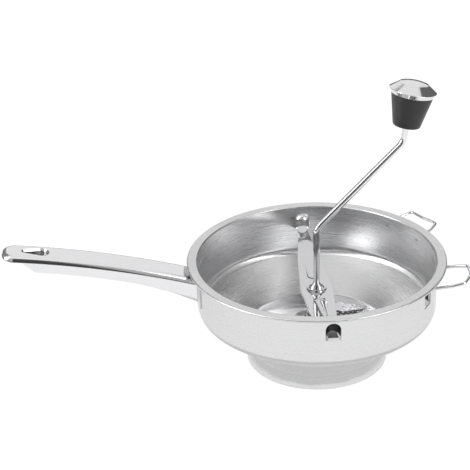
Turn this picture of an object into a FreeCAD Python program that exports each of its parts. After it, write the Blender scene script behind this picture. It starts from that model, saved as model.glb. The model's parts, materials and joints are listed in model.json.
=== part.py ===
"""Hand cranked food mill: bowl, sieve disc, crossbar, sprung crank and blade, long handle.

Millimetres, +Z up.  The origin is the centre of the foot, on the surface the mill stands on.
The handle runs along -X and the crossbar lies along Y.
"""
import FreeCAD
import Part
import Sketcher
import math
import os

from FreeCAD import Placement, Rotation, Vector

DOC = FreeCAD.newDocument("FoodMill")
Z_AXIS = Vector(0, 0, 1)
Y_AXIS = Vector(0, 1, 0)
X_AXIS = Vector(1, 0, 0)
ORIGIN = Vector(0, 0, 0)

# ---------------------------------------------------------------- driving dimensions
SIZES = {
    # bowl pressing, one sheet from the rim to the foot
    "sheet": 0.8,
    "rim_height": 103.0,
    "rim_radius": 120.0,
    "rim_bead": 1.3,
    "rim_bend": 1.6,
    "rim_ledge": 8.8,
    "corner_radius": 11.0,
    "cone_angle": 31.5,
    "neck_height": 25.7,
    "neck_radius": 66.5,
    "neck_bend": 1.5,
    "waist_height": 15.0,
    "waist_inset": 1.3,
    "waist_bend": 4.0,
    "foot_inset": 0.2,
    "foot_hem": 2.0,
    "foot_hem_height": 3.0,
    "foot_round": 0.7,
    # hooded slots for the crossbar
    "slot_drop": 25.0,
    "slot_height": 17.0,
    "slot_half_width": 6.8,
    "slot_lip_rise": 6.5,
    "side_slot_angle": -33.8,
    # sieve disc
    "sieve_thick": 0.8,
    "sieve_lip": 1.0,
    "sieve_gap": 0.15,
    "sieve_step": 0.7,
    "hole_radius": 1.0,
    "hole_pitch": 4.8,
    "hole_margin": 4.0,
    "sieve_eye_gap": 0.5,
    # crossbar
    "bar_sheet": 1.2,
    "bar_depth": 3.2,
    "bar_bow": 8.0,
    "bar_half_width": 15.0,
    "bar_shoulder_reach": 56.0,
    "bar_shoulder_half": 11.0,
    "bar_neck_inset": 8.2,
    "tongue_half": 4.65,
    "tongue_proud": 1.1,
    "tongue_gap": 0.25,
    "flute_radius": 12.0,
    "flute_depth": 1.5,
    "flute_taper": 1.35,
    "flute_start": 24.0,
    "flute_end": 84.0,
    "boss_radius": 10.2,
    "boss_step": 1.4,
    "boss_step_rise": 1.8,
    "boss_rise": 4.4,
    # crank rod
    "rod_radius": 3.05,
    "rod_bend": 12.0,
    "rod_tip_drop": 3.5,
    "elbow_height": 131.8,
    "arm_reach": 87.2,
    "arm_height": 201.4,
    "knob_tilt": 10.3,
    "crank_angle": 17.4,
    "run_gap": 0.08,
    # bushing, spring and washers
    "bush_wall": 0.9,
    "bush_flange": 1.3,
    "bush_flange_thick": 1.2,
    "bush_top": 0.9,
    "seat_thick": 1.2,
    "seat_gap": 0.1,
    "spring_radius": 8.7,
    "spring_wire": 0.8,
    "spring_turns": 5.0,
    "washer_thick": 1.4,
    # blade
    "hub_radius": 6.0,
    "hub_height": 14.5,
    "hub_clear": 0.3,
    "blade_inset": 4.5,
    "blade_thick": 1.2,
    "blade_clear": 0.8,
    "blade_angle": 13.0,
    "blade_span": 172.0,
    "blade_eye_radius": 12.0,
    "blade_lead_rise": 23.0,
    "blade_tail_rise": 3.0,
    "blade_lip": 9.5,
    "pin_radius": 1.2,
    # knob
    "knob_offset": 16.4,
    "grip_height": 30.5,
    "grip_foot_radius": 12.6,
    "grip_top_radius": 19.5,
    "grip_round": 2.0,
    "spigot_radius": 17.6,
    "spigot_height": 3.2,
    "pocket_radius": 5.6,
    "pocket_depth": 8.0,
    "clip_radius": 5.0,
    "clip_thick": 1.2,
    "cap_radius": 22.0,
    "cap_rise": 8.5,
    "cap_lip": 1.6,
    "cap_skirt": 4.0,
    "cap_flank": 5.4,
    "cap_crown_radius": 13.0,
    "cap_sheet": 0.8,
    "cap_gap": 0.1,
    # handle
    "handle_tip": 286.8,
    "handle_width": 30.0,
    "handle_root_drop": 9.6,
    "handle_root_slope": 17.3,
    "handle_arc": 902.0,
    "pan_depth": 5.2,
    "blank_overrun": 2.0,
    "pan_sheet": 1.0,
    "pan_round": 6.0,
    "tip_round": 12.5,
    "keel_half": 11.6,
    "keel_depth": 17.5,
    "keel_root_depth": 27.0,
    "keel_inset": 13.8,
    "keel_rake": 15.0,
    "keel_lip": 3.4,
    "keel_sweep_out": 68.8,
    "keel_heel": 8.0,
    "keel_round": 5.0,
    "hang_inset": 30.8,
    "hang_length": 22.0,
    "hang_half_width": 5.6,
    "hang_tip_radius": 1.6,
    "hang_bevel": 1.6,
    "bracket_thick": 1.2,
    "bracket_half_angle": 11.2,
    "bracket_drop": 4.0,
    "bracket_height": 31.5,
    "weld_gap": 0.1,
    # wire hooks
    "hook_wire": 1.55,
    "hook_weld_drop": 13.0,
    "hook_half_root": 20.5,
    "hook_half_knee": 19.8,
    "hook_half_end": 17.0,
    "hook_knee_out": 16.8,
    "hook_knee_rise": 4.5,
    "hook_end_out": 26.8,
    "hook_end_rise": 7.0,
    "side_hook_nose": 4.4,
    "back_hook_nose": -1.5,
    "hook_bend": 5.0,
    "side_hook_angle": -17.0,
    "side_hook_lift": -0.5,
    "back_hook_angle": 33.0,
    "back_hook_lift": 3.0,
    "weld_radius": 2.3,
    "weld_rise": 0.5,
}

# Sizes that follow others, as spreadsheet formulas: what hangs from the rim, stands out
# from the wall or lies inside the neck keeps its distance to it.
FOLLOWING = {
    "wall_radius": "=rim_radius - rim_ledge",
    "waist_radius": "=neck_radius - waist_inset",
    "foot_radius": "=neck_radius - foot_inset",
    "blade_radius": "=neck_radius - blade_inset",
    "slot_sill": "=rim_height - slot_drop",
    "bar_centre_height": "=slot_sill - bar_bow",
    "bar_neck_reach": "=wall_radius - bar_neck_inset",
    "handle_root_height": "=rim_height - handle_root_drop",
    "keel_end": "=handle_tip - keel_inset",
    "keel_sweep": "=wall_radius + keel_sweep_out",
    "hang_reach": "=handle_tip - hang_inset",
    "bracket_top": "=rim_height - bracket_drop",
    "bracket_foot": "=bracket_top - bracket_height",
    "hook_weld_height": "=rim_height - hook_weld_drop",
    "hook_knee_reach": "=wall_radius + hook_knee_out",
    "hook_knee_height": "=hook_weld_height + hook_knee_rise",
    "hook_end_reach": "=wall_radius + hook_end_out",
    "hook_end_height": "=hook_weld_height + hook_end_rise",
}

SHEET = DOC.addObject("Spreadsheet::Sheet", "sizes")
for row, (alias, value) in enumerate({**SIZES, **FOLLOWING}.items(), start=1):
    SHEET.set("A%d" % row, alias)
    SHEET.set("B%d" % row, str(value))
    SHEET.setAlias("B%d" % row, alias)
DOC.recompute()


def size(alias):
    """The value of one cell of the sheet."""
    return float(SHEET.get(alias))


def tan_deg(angle):
    return math.tan(math.radians(angle))


class Dim:
    """A length that knows its value and the sheet expression that gives it."""

    def __init__(self, value, text):
        self.value = value
        self.text = text

    @staticmethod
    def of(alias):
        return Dim(size(alias), "sizes." + alias)

    @staticmethod
    def lift(other):
        return other if isinstance(other, Dim) else Dim(float(other), repr(float(other)))

    def __add__(self, other):
        other = Dim.lift(other)
        return Dim(self.value + other.value, "(%s + %s)" % (self.text, other.text))

    def __sub__(self, other):
        other = Dim.lift(other)
        return Dim(self.value - other.value, "(%s - %s)" % (self.text, other.text))

    def __mul__(self, factor):
        return Dim(self.value * factor, "(%s * %r)" % (self.text, float(factor)))


NODES = []


def keep(obj, label):
    """Name a finished sub-part and put it on the list that is checked and written."""
    obj.Label = label
    NODES.append(obj)
    return obj


def shape_node(label, shape, placement=None):
    """A sub-part whose shape is worked out here from the sheet."""
    obj = DOC.addObject("Part::Feature", label)
    obj.Shape = shape
    if placement is not None:
        obj.Placement = placement
    return keep(obj, label)


def origin_plane(body, role):
    return next(item for item in body.Origin.OriginFeatures if item.Role == role)


def turned_body(label, profile, placement=None, rounds=(), cross_bore=None):
    """A PartDesign body turned about its own Z axis.

    profile: the corners (radius, height) of a closed outline, as Dim pairs.
    rounds: (radius, height, fillet) of the circular edges to be rounded, as Dims.
    cross_bore: (radius, height) of a hole bored through along Y, as Dims.
    """
    body = DOC.addObject("PartDesign::Body", label)
    sketch = body.newObject("Sketcher::SketchObject", label + "_profile")
    sketch.AttachmentSupport = [(origin_plane(body, "XZ_Plane"), "")]
    sketch.MapMode = "FlatFace"
    corners = [Vector(r.value, z.value, 0) for r, z in profile]
    count = len(corners)
    for index, start in enumerate(corners):
        sketch.addGeometry(Part.LineSegment(start, corners[(index + 1) % count]), False)
    for index in range(count):
        following = (index + 1) % count
        sketch.addConstraint(Sketcher.Constraint("Coincident", index, 2, following, 1))
    for index, (r, z) in enumerate(profile):
        for kind, dim, axis in (("DistanceX", r, -2), ("DistanceY", z, -1)):
            if abs(dim.value) < 1e-9:
                sketch.addConstraint(Sketcher.Constraint("PointOnObject", index, 1, axis))
                continue
            made = sketch.addConstraint(
                Sketcher.Constraint(kind, -1, 1, index, 1, dim.value))
            sketch.setExpression("Constraints[%d]" % made, dim.text)
    turned = body.newObject("PartDesign::Revolution", label + "_turned")
    turned.Profile = sketch
    turned.ReferenceAxis = (sketch, ["V_Axis"])
    turned.Angle = 360.0
    DOC.recompute()
    for number, (r, z, fillet) in enumerate(rounds):
        base = body.Tip
        names = []
        for index, edge in enumerate(base.Shape.Edges, start=1):
            box = edge.BoundBox
            on_height = abs(box.ZMin - z.value) < 1e-4 and abs(box.ZMax - z.value) < 1e-4
            if on_height and abs(box.XMax - r.value) < 1e-4:
                names.append("Edge%d" % index)
        if names:
            rounded = body.newObject("PartDesign::Fillet", "%s_round%d" % (label, number))
            rounded.Base = (base, names)
            rounded.Radius = fillet.value
            rounded.setExpression("Radius", fillet.text)
            DOC.recompute()
    if cross_bore is not None:
        drill_across(body, label, *cross_bore)
    if placement is not None:
        body.Placement = placement
    return keep(body, label)


def drill_across(body, label, radius, height):
    """Bore a round hole through a turned body, along its own Y axis."""
    sketch = body.newObject("Sketcher::SketchObject", label + "_bore_circle")
    sketch.AttachmentSupport = [(origin_plane(body, "XZ_Plane"), "")]
    sketch.MapMode = "FlatFace"
    sketch.addGeometry(Part.Circle(Vector(0, height.value, 0), Z_AXIS, radius.value), False)
    sketch.addConstraint(Sketcher.Constraint("PointOnObject", 0, 3, -2))
    for kind, dim in (("DistanceY", height), ("Radius", radius)):
        places = (-1, 1, 0, 3) if kind == "DistanceY" else (0,)
        made = sketch.addConstraint(Sketcher.Constraint(kind, *places, dim.value))
        sketch.setExpression("Constraints[%d]" % made, dim.text)
    before = body.Shape.Volume
    bore = body.newObject("PartDesign::Pocket", label + "_bore")
    bore.Profile = sketch
    bore.Type = "ThroughAll"
    bore.Midplane = True
    DOC.recompute()
    if body.Shape.Volume >= before:
        raise RuntimeError("the bore cut nothing from " + label)


# ---------------------------------------------------------------- geometry helpers
def rounded_path(points, radii):
    """Straight runs joined by tangent arcs; radii has one value for each inner point."""
    edges = []
    start = points[0]
    for index in range(1, len(points) - 1):
        corner = points[index]
        radius = radii[index - 1]
        back = (points[index - 1] - corner).normalize()
        ahead = (points[index + 1] - corner).normalize()
        half = back.getAngle(ahead) / 2.0
        if radius <= 0 or abs(half - math.pi / 2) < 1e-6:
            edges.append(Part.LineSegment(start, corner).toShape())
            start = corner
            continue
        reach = radius / math.tan(half)
        first = corner + back * reach
        last = corner + ahead * reach
        inward = (back + ahead).normalize()
        middle = corner + inward * (radius / math.sin(half) - radius)
        if (first - start).Length > 1e-6:
            edges.append(Part.LineSegment(start, first).toShape())
        edges.append(Part.Arc(first, middle, last).toShape())
        start = last
    edges.append(Part.LineSegment(start, points[-1]).toShape())
    return edges


def offset_points(points, distance):
    """An open outline moved to its right-hand side by distance, with mitred corners."""
    moved = []
    normals = []
    for first, last in zip(points[:-1], points[1:]):
        run = (last - first).normalize()
        normals.append(Vector(run.z, 0, -run.x))
    for index, point in enumerate(points):
        if index == 0 or index == len(points) - 1:
            normal = normals[0] if index == 0 else normals[-1]
            moved.append(point + normal * distance)
            continue
        before = normals[index - 1]
        after = normals[index]
        mitre = (before + after).normalize()
        moved.append(point + mitre * (distance / mitre.dot(before)))
    return moved


def pipe(edges, radius):
    """A round bar along edges that follow each other."""
    wire = Part.Wire(edges)
    start = wire.Edges[0]
    place = start.valueAt(start.FirstParameter)
    heading = start.tangentAt(start.FirstParameter)
    ring = Part.Wire([Part.makeCircle(radius, place, heading)])
    return wire.makePipeShell([ring], True, True)


def prism(points, low, high):
    """An upright prism on a closed outline of (x, y) corners."""
    corners = [Vector(x, y, low) for x, y in points]
    face = Part.Face(Part.makePolygon(corners + corners[:1]))
    return face.extrude(Vector(0, 0, high - low))


def turn(shape, angle):
    turned = shape.copy()
    turned.rotate(ORIGIN, Z_AXIS, angle)
    return turned


# ---------------------------------------------------------------- bowl
def cone_floor(radius):
    """Height of the inside of the cone at a radius."""
    slope = tan_deg(size("cone_angle"))
    lift = size("sheet") / math.cos(math.radians(size("cone_angle")))
    return size("neck_height") + (radius - size("neck_radius")) * slope + lift


def bowl_skin():
    """The turned sheet from the rolled rim to the rolled foot."""
    sheet = size("sheet")
    slope = tan_deg(size("cone_angle"))
    knee = size("neck_height") + (size("wall_radius") - size("neck_radius")) * slope
    under_rim = size("rim_height") - sheet
    outside = [
        Vector(size("rim_radius") - size("rim_bead"), 0, under_rim),
        Vector(size("wall_radius"), 0, under_rim),
        Vector(size("wall_radius"), 0, knee),
        Vector(size("neck_radius"), 0, size("neck_height")),
        Vector(size("waist_radius"), 0, size("waist_height")),
        Vector(size("foot_radius"), 0, size("foot_hem_height") / 2),
    ]
    inside = offset_points(outside, sheet)
    out_radii = [size("rim_bend") - sheet, size("corner_radius"), size("neck_bend"),
                 size("waist_bend")]
    in_radii = [size("rim_bend"), size("corner_radius") - sheet, size("neck_bend") + sheet,
                size("waist_bend") + sheet]
    outer = rounded_path(outside, out_radii)
    inner = rounded_path(inside, in_radii)
    ends = [Part.LineSegment(outside[0], inside[0]).toShape(),
            Part.LineSegment(outside[-1], inside[-1]).toShape()]
    face = Part.Face(Part.Wire(Part.sortEdges(outer + inner + ends)[0]))
    skin = face.revolve(ORIGIN, Z_AXIS, 360)
    rim_bead = Part.makeTorus(size("rim_radius") - size("rim_bead"), size("rim_bead"),
                              Vector(0, 0, size("rim_height") - size("rim_bead")))
    outer = size("foot_radius")
    inner = outer - size("foot_hem")
    tall = size("foot_hem_height")
    hem = Part.makeCylinder(outer, tall).cut(Part.makeCylinder(inner, tall))
    hem = hem.makeFillet(size("foot_round"), [
        edge for edge in hem.Edges if abs(edge.BoundBox.XMax - outer) < 1e-4
        and edge.BoundBox.ZLength < 1e-4])
    return skin.fuse([rim_bead, hem])


def capsule(radius, low, top):
    """A round-topped upright post that stands on the wall line of the +X slot."""
    centre = Vector(size("wall_radius"), 0, low)
    post = Part.makeCylinder(radius, top - radius - low, centre)
    crown = Part.makeSphere(radius, Vector(centre.x, 0, top - radius))
    return post.fuse(crown)


def slot_hood():
    """The recess to be cut at +X and the hood pressed inward over it."""
    sheet = size("sheet")
    sill = size("slot_sill")
    top = sill + size("slot_height")
    recess = capsule(size("slot_half_width"), sill, top)
    shell = capsule(size("slot_half_width") + sheet, sill, top + sheet).cut(recess)
    inside = Part.makeCylinder(size("wall_radius") - sheet / 2, size("rim_height"))
    shell = shell.common(inside)
    reach = size("slot_half_width") + sheet
    rise = size("slot_lip_rise") * reach / size("slot_half_width")
    wall = size("wall_radius")
    mouth = Part.Face(Part.makePolygon([
        Vector(wall, -reach * 2, sill), Vector(wall - 2 * reach, -reach * 2, sill + 2 * rise),
        Vector(wall - 2 * reach, -reach * 2, sill - reach), Vector(wall, -reach * 2, sill - reach),
        Vector(wall, -reach * 2, sill)])).extrude(Vector(0, 4 * reach, 0))
    return recess, shell.cut(mouth)


def make_bowl():
    skin = bowl_skin()
    recess, hood = slot_hood()
    for angle in (-90.0, 90.0, size("side_slot_angle")):
        skin = skin.cut(turn(recess, angle)).fuse(turn(hood, angle))
    return shape_node("bowl", skin.removeSplitter())


# ---------------------------------------------------------------- sieve disc
def sieve_levels():
    """Radius and height of the underside corner of the disc, which rests on the cone."""
    corner = size("neck_radius") + size("sieve_step")
    under = cone_floor(corner) + size("sieve_gap")
    return corner, under


def hole_places(limit):
    """Centres of a triangular pattern inside a radius, clear of the middle."""
    pitch = size("hole_pitch")
    row_step = pitch * math.sqrt(3) / 2
    rows = int(limit / row_step) + 1
    places = []
    for row in range(-rows, rows + 1):
        shift = 0.5 * pitch if row % 2 else 0.0
        for column in range(-rows - 1, rows + 2):
            x = column * pitch + shift
            y = row * row_step
            distance = math.hypot(x, y)
            if 1.6 * pitch < distance < limit:
                places.append(Vector(x, y, 0))
    return places


def make_sieve():
    corner, under = sieve_levels()
    thick = size("sieve_thick")
    slope = tan_deg(size("cone_angle"))
    lip = size("sieve_lip")
    eye = size("rod_radius") + size("sieve_eye_gap")
    flat = Part.Face([Part.Wire([Part.makeCircle(corner - 1.0, Vector(0, 0, under))])]
                     + [Part.Wire([Part.makeCircle(size("hole_radius"), place + Vector(0, 0, under))])
                        for place in hole_places(corner - size("hole_margin"))]
                     + [Part.Wire([Part.makeCircle(eye, Vector(0, 0, under))])])
    plate = flat.extrude(Vector(0, 0, thick))
    ring = Part.Face(Part.makePolygon([
        Vector(corner - 1.0, 0, under), Vector(corner, 0, under),
        Vector(corner + lip, 0, under + lip * slope),
        Vector(corner + lip, 0, under + lip * slope + thick),
        Vector(corner - thick * slope / 2, 0, under + thick), Vector(corner - 1.0, 0, under + thick),
        Vector(corner - 1.0, 0, under)])).revolve(ORIGIN, Z_AXIS, 360)
    return shape_node("sieve_disc", plate.fuse(ring).removeSplitter())


def sieve_top():
    return sieve_levels()[1] + size("sieve_thick")


# ---------------------------------------------------------------- crossbar
def bar_arc():
    """Reach of the tongue and radius of the bar's long upward curve."""
    reach = size("wall_radius") + size("tongue_proud")
    tongue_top = size("slot_sill") + size("tongue_gap") + size("bar_depth")
    rise = tongue_top - size("bar_centre_height")
    return reach, (reach * reach + rise * rise) / (2 * rise)


def bar_round(radius, width):
    """A cylinder across the bar, on the axis that its long curve is struck from."""
    arc = bar_arc()[1]
    centre = Vector(-width / 2, 0, size("bar_centre_height") + arc)
    return Part.makeCylinder(radius, width, centre, X_AXIS)


def make_crossbar():
    reach, arc = bar_arc()
    sheet = size("bar_sheet")
    outline = [(size("bar_half_width"), 0), (size("bar_shoulder_half"), size("bar_shoulder_reach")),
               (size("tongue_half"), size("bar_neck_reach")), (size("tongue_half"), reach)]
    mirrored = [(-x, y) for x, y in reversed(outline)]
    front = [(-x, -y) for x, y in outline[1:]]
    near = [(x, -y) for x, y in reversed(outline[1:])]
    corners = outline + mirrored + front + near
    low = size("bar_centre_height") - 2 * size("bar_depth")
    high = size("rim_height")
    outer = prism(corners, low, high)
    ring = Part.makePolygon([Vector(x, y, low) for x, y in corners + corners[:1]])
    inner = Part.Face(ring.makeOffset2D(-sheet)).extrude(Vector(0, 0, high - low))
    width = 4 * size("bar_half_width")
    tray = outer.cut(bar_round(arc, width)).common(bar_round(arc + size("bar_depth"), width))
    tray = tray.cut(inner.cut(bar_round(arc + sheet, width)))
    centre_z = size("bar_centre_height") + arc
    for side in (1, -1):
        grooves = []
        for radius in (size("flute_radius"), size("flute_radius") + sheet):
            strike = arc - size("flute_radius") + size("flute_depth")
            first = math.asin(size("flute_start") / arc) * side
            last = math.asin(size("flute_end") / arc) * side
            centres = [Vector(0, strike * math.sin(a), centre_z - strike * math.cos(a))
                       for a in (first, last)]
            heading = Vector(0, math.cos(first), math.sin(first))
            disc = Part.Face(Part.Wire([Part.makeCircle(radius, centres[0], heading)]))
            swept = disc.revolve(Vector(0, 0, centre_z), X_AXIS, math.degrees(last - first))
            ends = [Part.makeSphere(radius, centre) for centre in centres]
            groove = swept.fuse(ends)
            groove.rotate(centres[0], X_AXIS, size("flute_taper") * side)
            grooves.append(groove)
        cut, backed = grooves
        cavity = inner.cut(bar_round(arc + sheet / 2, width)).common(bar_round(arc + 3 * sheet, width))
        tray = tray.fuse(backed.common(cavity)).cut(cut)
    base = size("bar_centre_height")
    boss = size("boss_radius")
    rise = size("boss_rise")
    bore = bush_radius() + size("seat_gap")
    step = size("boss_step")
    step_rise = size("boss_step_rise")
    boss_line = [
        Vector(boss, 0, base - sheet), Vector(boss - step, 0, base + step_rise),
        Vector(boss - 2 * step, 0, base + step_rise), Vector(boss - 3 * step, 0, base + rise),
        Vector(bore, 0, base + rise)]
    under_line = offset_points(boss_line, -sheet)
    under_line[-1] = Vector(bore, 0, base + rise - sheet)
    under_line[0] = Vector(boss - sheet, 0, base - sheet)
    boss_ring = Part.Face(Part.makePolygon(boss_line + under_line[::-1] + boss_line[:1]))
    boss_ring = boss_ring.revolve(ORIGIN, Z_AXIS, 360)
    hole = Part.makeCylinder(boss - sheet / 2, 4 * rise, Vector(0, 0, base - 2 * rise))
    bar = tray.cut(hole).fuse(boss_ring)
    return shape_node("crossbar", bar.removeSplitter())


def bush_radius():
    return size("rod_radius") + size("run_gap") + size("bush_wall")


# ---------------------------------------------------------------- bushing, seat, spring, washer
def levels():
    """Heights of the pieces stacked on the shaft, from the bar down to the hub."""
    boss_top = size("bar_centre_height") + size("boss_rise")
    hub_foot = sieve_top() + size("hub_clear")
    hub_top = hub_foot + size("hub_height")
    washer_foot = hub_top + size("seat_gap")
    spring_foot = washer_foot + size("washer_thick") + size("seat_gap")
    seat_top = size("bar_centre_height") - size("bar_sheet") - size("seat_gap")
    seat_foot = seat_top - size("seat_thick")
    return {"boss_top": boss_top, "hub_foot": hub_foot, "hub_top": hub_top,
            "washer_foot": washer_foot, "spring_foot": spring_foot,
            "seat_top": seat_top, "seat_foot": seat_foot}


def fixed(value):
    """A level worked out from the sheet in this file, as a plain Dim."""
    return Dim(value, repr(value))


def make_stack():
    at = levels()
    bore = Dim.of("rod_radius") + Dim.of("run_gap")
    tube = bore + Dim.of("bush_wall")
    boss_top = fixed(at["boss_top"] + size("seat_gap"))
    flange_top = boss_top + Dim.of("bush_flange_thick")
    foot = fixed(at["seat_foot"])
    turned_body("shaft_bushing", [
        (bore, foot), (tube, foot), (tube, boss_top), (tube + Dim.of("bush_flange"), boss_top),
        (tube + Dim.of("bush_flange"), flange_top), (tube, flange_top),
        (tube, flange_top + Dim.of("bush_top")), (bore, flange_top + Dim.of("bush_top"))])
    seat_in = tube + Dim.of("seat_gap")
    seat_out = Dim.of("spring_radius") + Dim.of("spring_wire") * 2.0
    seat_top = fixed(at["seat_top"])
    turned_body("spring_seat", [
        (seat_in, foot), (seat_out, foot), (seat_out, seat_top), (seat_in, seat_top)])
    washer_foot = fixed(at["washer_foot"])
    washer_top = washer_foot + Dim.of("washer_thick")
    washer_out = Dim.of("spring_radius") + Dim.of("spring_wire") * 2.0
    turned_body("thrust_washer", [
        (bore, washer_foot), (washer_out, washer_foot), (washer_out, washer_top),
        (bore, washer_top)])


def make_spring():
    """A round wire compression spring between the thrust washer and the spring seat."""
    at = levels()
    wire = size("spring_wire")
    low = at["spring_foot"] + wire
    high = at["seat_foot"] - size("seat_gap") - wire
    pitch = (high - low) / size("spring_turns")
    helix = Part.makeHelix(pitch, high - low, size("spring_radius"))
    edges = helix.Edges
    start = edges[0].valueAt(edges[0].FirstParameter)
    heading = edges[0].tangentAt(edges[0].FirstParameter)
    ring = Part.Wire([Part.makeCircle(wire, start, heading)])
    coil = Part.Wire(edges).makePipeShell([ring], True, True)
    coil.translate(Vector(0, 0, low))
    return shape_node("pressure_spring", coil)


# ---------------------------------------------------------------- crank rod and blade
def crank_place():
    return Placement(ORIGIN, Rotation(Z_AXIS, size("crank_angle")))


def knob_axis():
    """Foot of the knob axis at the upper bend, and the direction it points in."""
    tilt = math.radians(size("knob_tilt"))
    return Vector(size("arm_reach"), 0, size("arm_height")), Vector(math.sin(tilt), 0, math.cos(tilt))


def rod_end():
    """How far the rod runs along the knob axis, to just past its clip."""
    pocket_floor = size("grip_height") + size("spigot_height") - size("pocket_depth")
    return size("knob_offset") + pocket_floor + size("seat_gap") + 2 * size("clip_thick")


def pin_height():
    """Height of the cross pin that drives the blade hub."""
    at = levels()
    return (at["hub_foot"] + at["hub_top"]) / 2


def make_rod():
    bend, along = knob_axis()
    tip = sieve_top() - size("rod_tip_drop")
    points = [Vector(0, 0, tip), Vector(0, 0, size("elbow_height")), bend, bend + along * rod_end()]
    rod = pipe(rounded_path(points, [size("rod_bend"), size("rod_bend")]), size("rod_radius"))
    bore = Part.makeCylinder(size("pin_radius") + size("seat_gap") / 2, 4 * size("hub_radius"),
                             Vector(0, -2 * size("hub_radius"), pin_height()), Y_AXIS)
    return shape_node("crank_rod", rod.cut(bore), crank_place())


def blade_wing():
    """The pressing blade: a half turn of sheet that falls from its leading edge to the disc.

    Every radial line of the sheet runs straight from the eye round the spring to the rim
    arc just above the disc.  The leading edge is turned down into a stiff lip that runs in
    to the hub.
    """
    thick = size("blade_thick")
    low = sieve_top() + size("blade_clear")
    eye = size("blade_eye_radius")
    rim = size("blade_radius")
    lead = size("blade_lead_rise")
    tail = size("blade_tail_rise")
    steps = 10
    sections = []
    for step in range(steps + 1):
        share = step / steps
        rise = lead + (tail - lead) * share
        corners = [Vector(eye, 0, low + rise), Vector(rim, 0, low),
                   Vector(rim, 0, low + thick), Vector(eye, 0, low + rise + thick)]
        section = Part.makePolygon(corners + corners[:1])
        sections.append(turn(section, size("blade_span") * share))
    wing = Part.makeLoft(sections, True, False)
    hub = size("hub_radius") - 1.0
    hub_top = levels()["hub_top"] - size("seat_gap")
    top = low + thick / 2
    slope = lead / (rim - eye)
    taper = min(eye + size("blade_lip") / slope, rim - 2.0)
    lip = Part.Face(Part.makePolygon([
        Vector(hub, 0, low + 2.0), Vector(hub, 0, hub_top), Vector(eye, 0, hub_top),
        Vector(eye, 0, top + lead), Vector(rim, 0, top), Vector(rim, 0, low),
        Vector(rim - 6.0, 0, low), Vector(taper, 0, low + lead - size("blade_lip") * 2 + 1.0),
        Vector(eye + 4.0, 0, low + lead - size("blade_lip")), Vector(eye + 2.0, 0, low + 2.0),
        Vector(hub, 0, low + 2.0)])).extrude(Vector(0, thick, 0))
    wing = wing.fuse(lip).removeSplitter()
    return turn(wing, size("blade_angle"))


def make_blade():
    at = levels()
    gap = size("seat_gap") / 2
    bore = Dim.of("rod_radius") + gap
    foot = fixed(at["hub_foot"])
    top = foot + Dim.of("hub_height")
    hub = turned_body("blade_hub", [
        (bore, foot), (Dim.of("hub_radius"), foot), (Dim.of("hub_radius"), top), (bore, top)],
        crank_place(), cross_bore=(Dim.of("pin_radius") + gap, fixed(pin_height())))
    plate = blade_wing().cut(Part.makeCylinder(size("hub_radius") + gap, size("rim_height")))
    shape_node("blade_plate", plate, crank_place())
    pin = DOC.addObject("Part::Cylinder", "drive_pin")
    pin.setExpression("Radius", "sizes.pin_radius")
    pin.setExpression("Height", "2 * sizes.hub_radius")
    lie = Placement(Vector(0, size("hub_radius"), pin_height()), Rotation(X_AXIS, 90))
    pin.Placement = crank_place().multiply(lie)
    keep(pin, "drive_pin")
    return hub


# ---------------------------------------------------------------- knob
def knob_place():
    bend, along = knob_axis()
    start = bend + along * size("knob_offset")
    local = Placement(start, Rotation(Y_AXIS, size("knob_tilt")))
    return crank_place().multiply(local)


def make_knob():
    place = knob_place()
    bore = Dim.of("rod_radius") + Dim.of("run_gap")
    nothing = Dim(0.0, "0")
    top = Dim.of("grip_height")
    spigot_top = top + Dim.of("spigot_height")
    floor = spigot_top - Dim.of("pocket_depth")
    turned_body("knob_grip", [
        (bore, nothing), (Dim.of("grip_foot_radius"), nothing), (Dim.of("grip_top_radius"), top),
        (Dim.of("spigot_radius"), top), (Dim.of("spigot_radius"), spigot_top),
        (Dim.of("pocket_radius"), spigot_top), (Dim.of("pocket_radius"), floor), (bore, floor)],
        place, [(Dim.of("grip_foot_radius"), nothing, Dim.of("grip_round"))])
    clip_foot = floor + Dim.of("seat_gap")
    clip_in = Dim.of("rod_radius")
    turned_body("knob_clip", [
        (clip_in, clip_foot), (Dim.of("clip_radius"), clip_foot),
        (Dim.of("clip_radius"), clip_foot + Dim.of("clip_thick")),
        (clip_in, clip_foot + Dim.of("clip_thick"))], place)
    cap = size("cap_radius")
    rise = size("cap_rise")
    sheet = size("cap_sheet")
    foot = size("grip_height") + size("cap_gap")
    equator = foot + size("cap_skirt")
    skirt = size("spigot_radius") + size("cap_gap") + sheet
    crown = size("cap_crown_radius")
    shoulder = equator + size("cap_flank")
    height = rise - size("cap_flank")
    ball = (crown * crown + height * height) / (2 * height)
    centre = equator + rise - ball

    def dome(radius, at_radius):
        return Vector(at_radius, 0, centre + math.sqrt(radius * radius - at_radius * at_radius))

    spigot_seat = size("spigot_radius") + size("cap_gap")
    outline = [
        Part.LineSegment(Vector(spigot_seat, 0, foot), Vector(skirt + size("cap_lip"), 0, foot)),
        Part.LineSegment(Vector(skirt + size("cap_lip"), 0, foot), Vector(cap, 0, equator)),
        Part.LineSegment(Vector(cap, 0, equator), Vector(crown, 0, shoulder)),
        Part.Arc(Vector(crown, 0, shoulder), dome(ball, crown / 2), dome(ball, 0.0)),
        Part.LineSegment(dome(ball, 0.0), dome(ball - sheet, 0.0)),
        Part.Arc(dome(ball - sheet, 0.0), dome(ball - sheet, crown / 2),
                 dome(ball - sheet, crown - sheet)),
        Part.LineSegment(dome(ball - sheet, crown - sheet),
                         Vector(spigot_seat, 0, foot + size("spigot_height"))),
        Part.LineSegment(Vector(spigot_seat, 0, foot + size("spigot_height")),
                         Vector(spigot_seat, 0, foot)),
    ]
    face = Part.Face(Part.Wire([line.toShape() for line in outline]))
    return shape_node("knob_cap", face.revolve(ORIGIN, Z_AXIS, 360), place)


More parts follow.
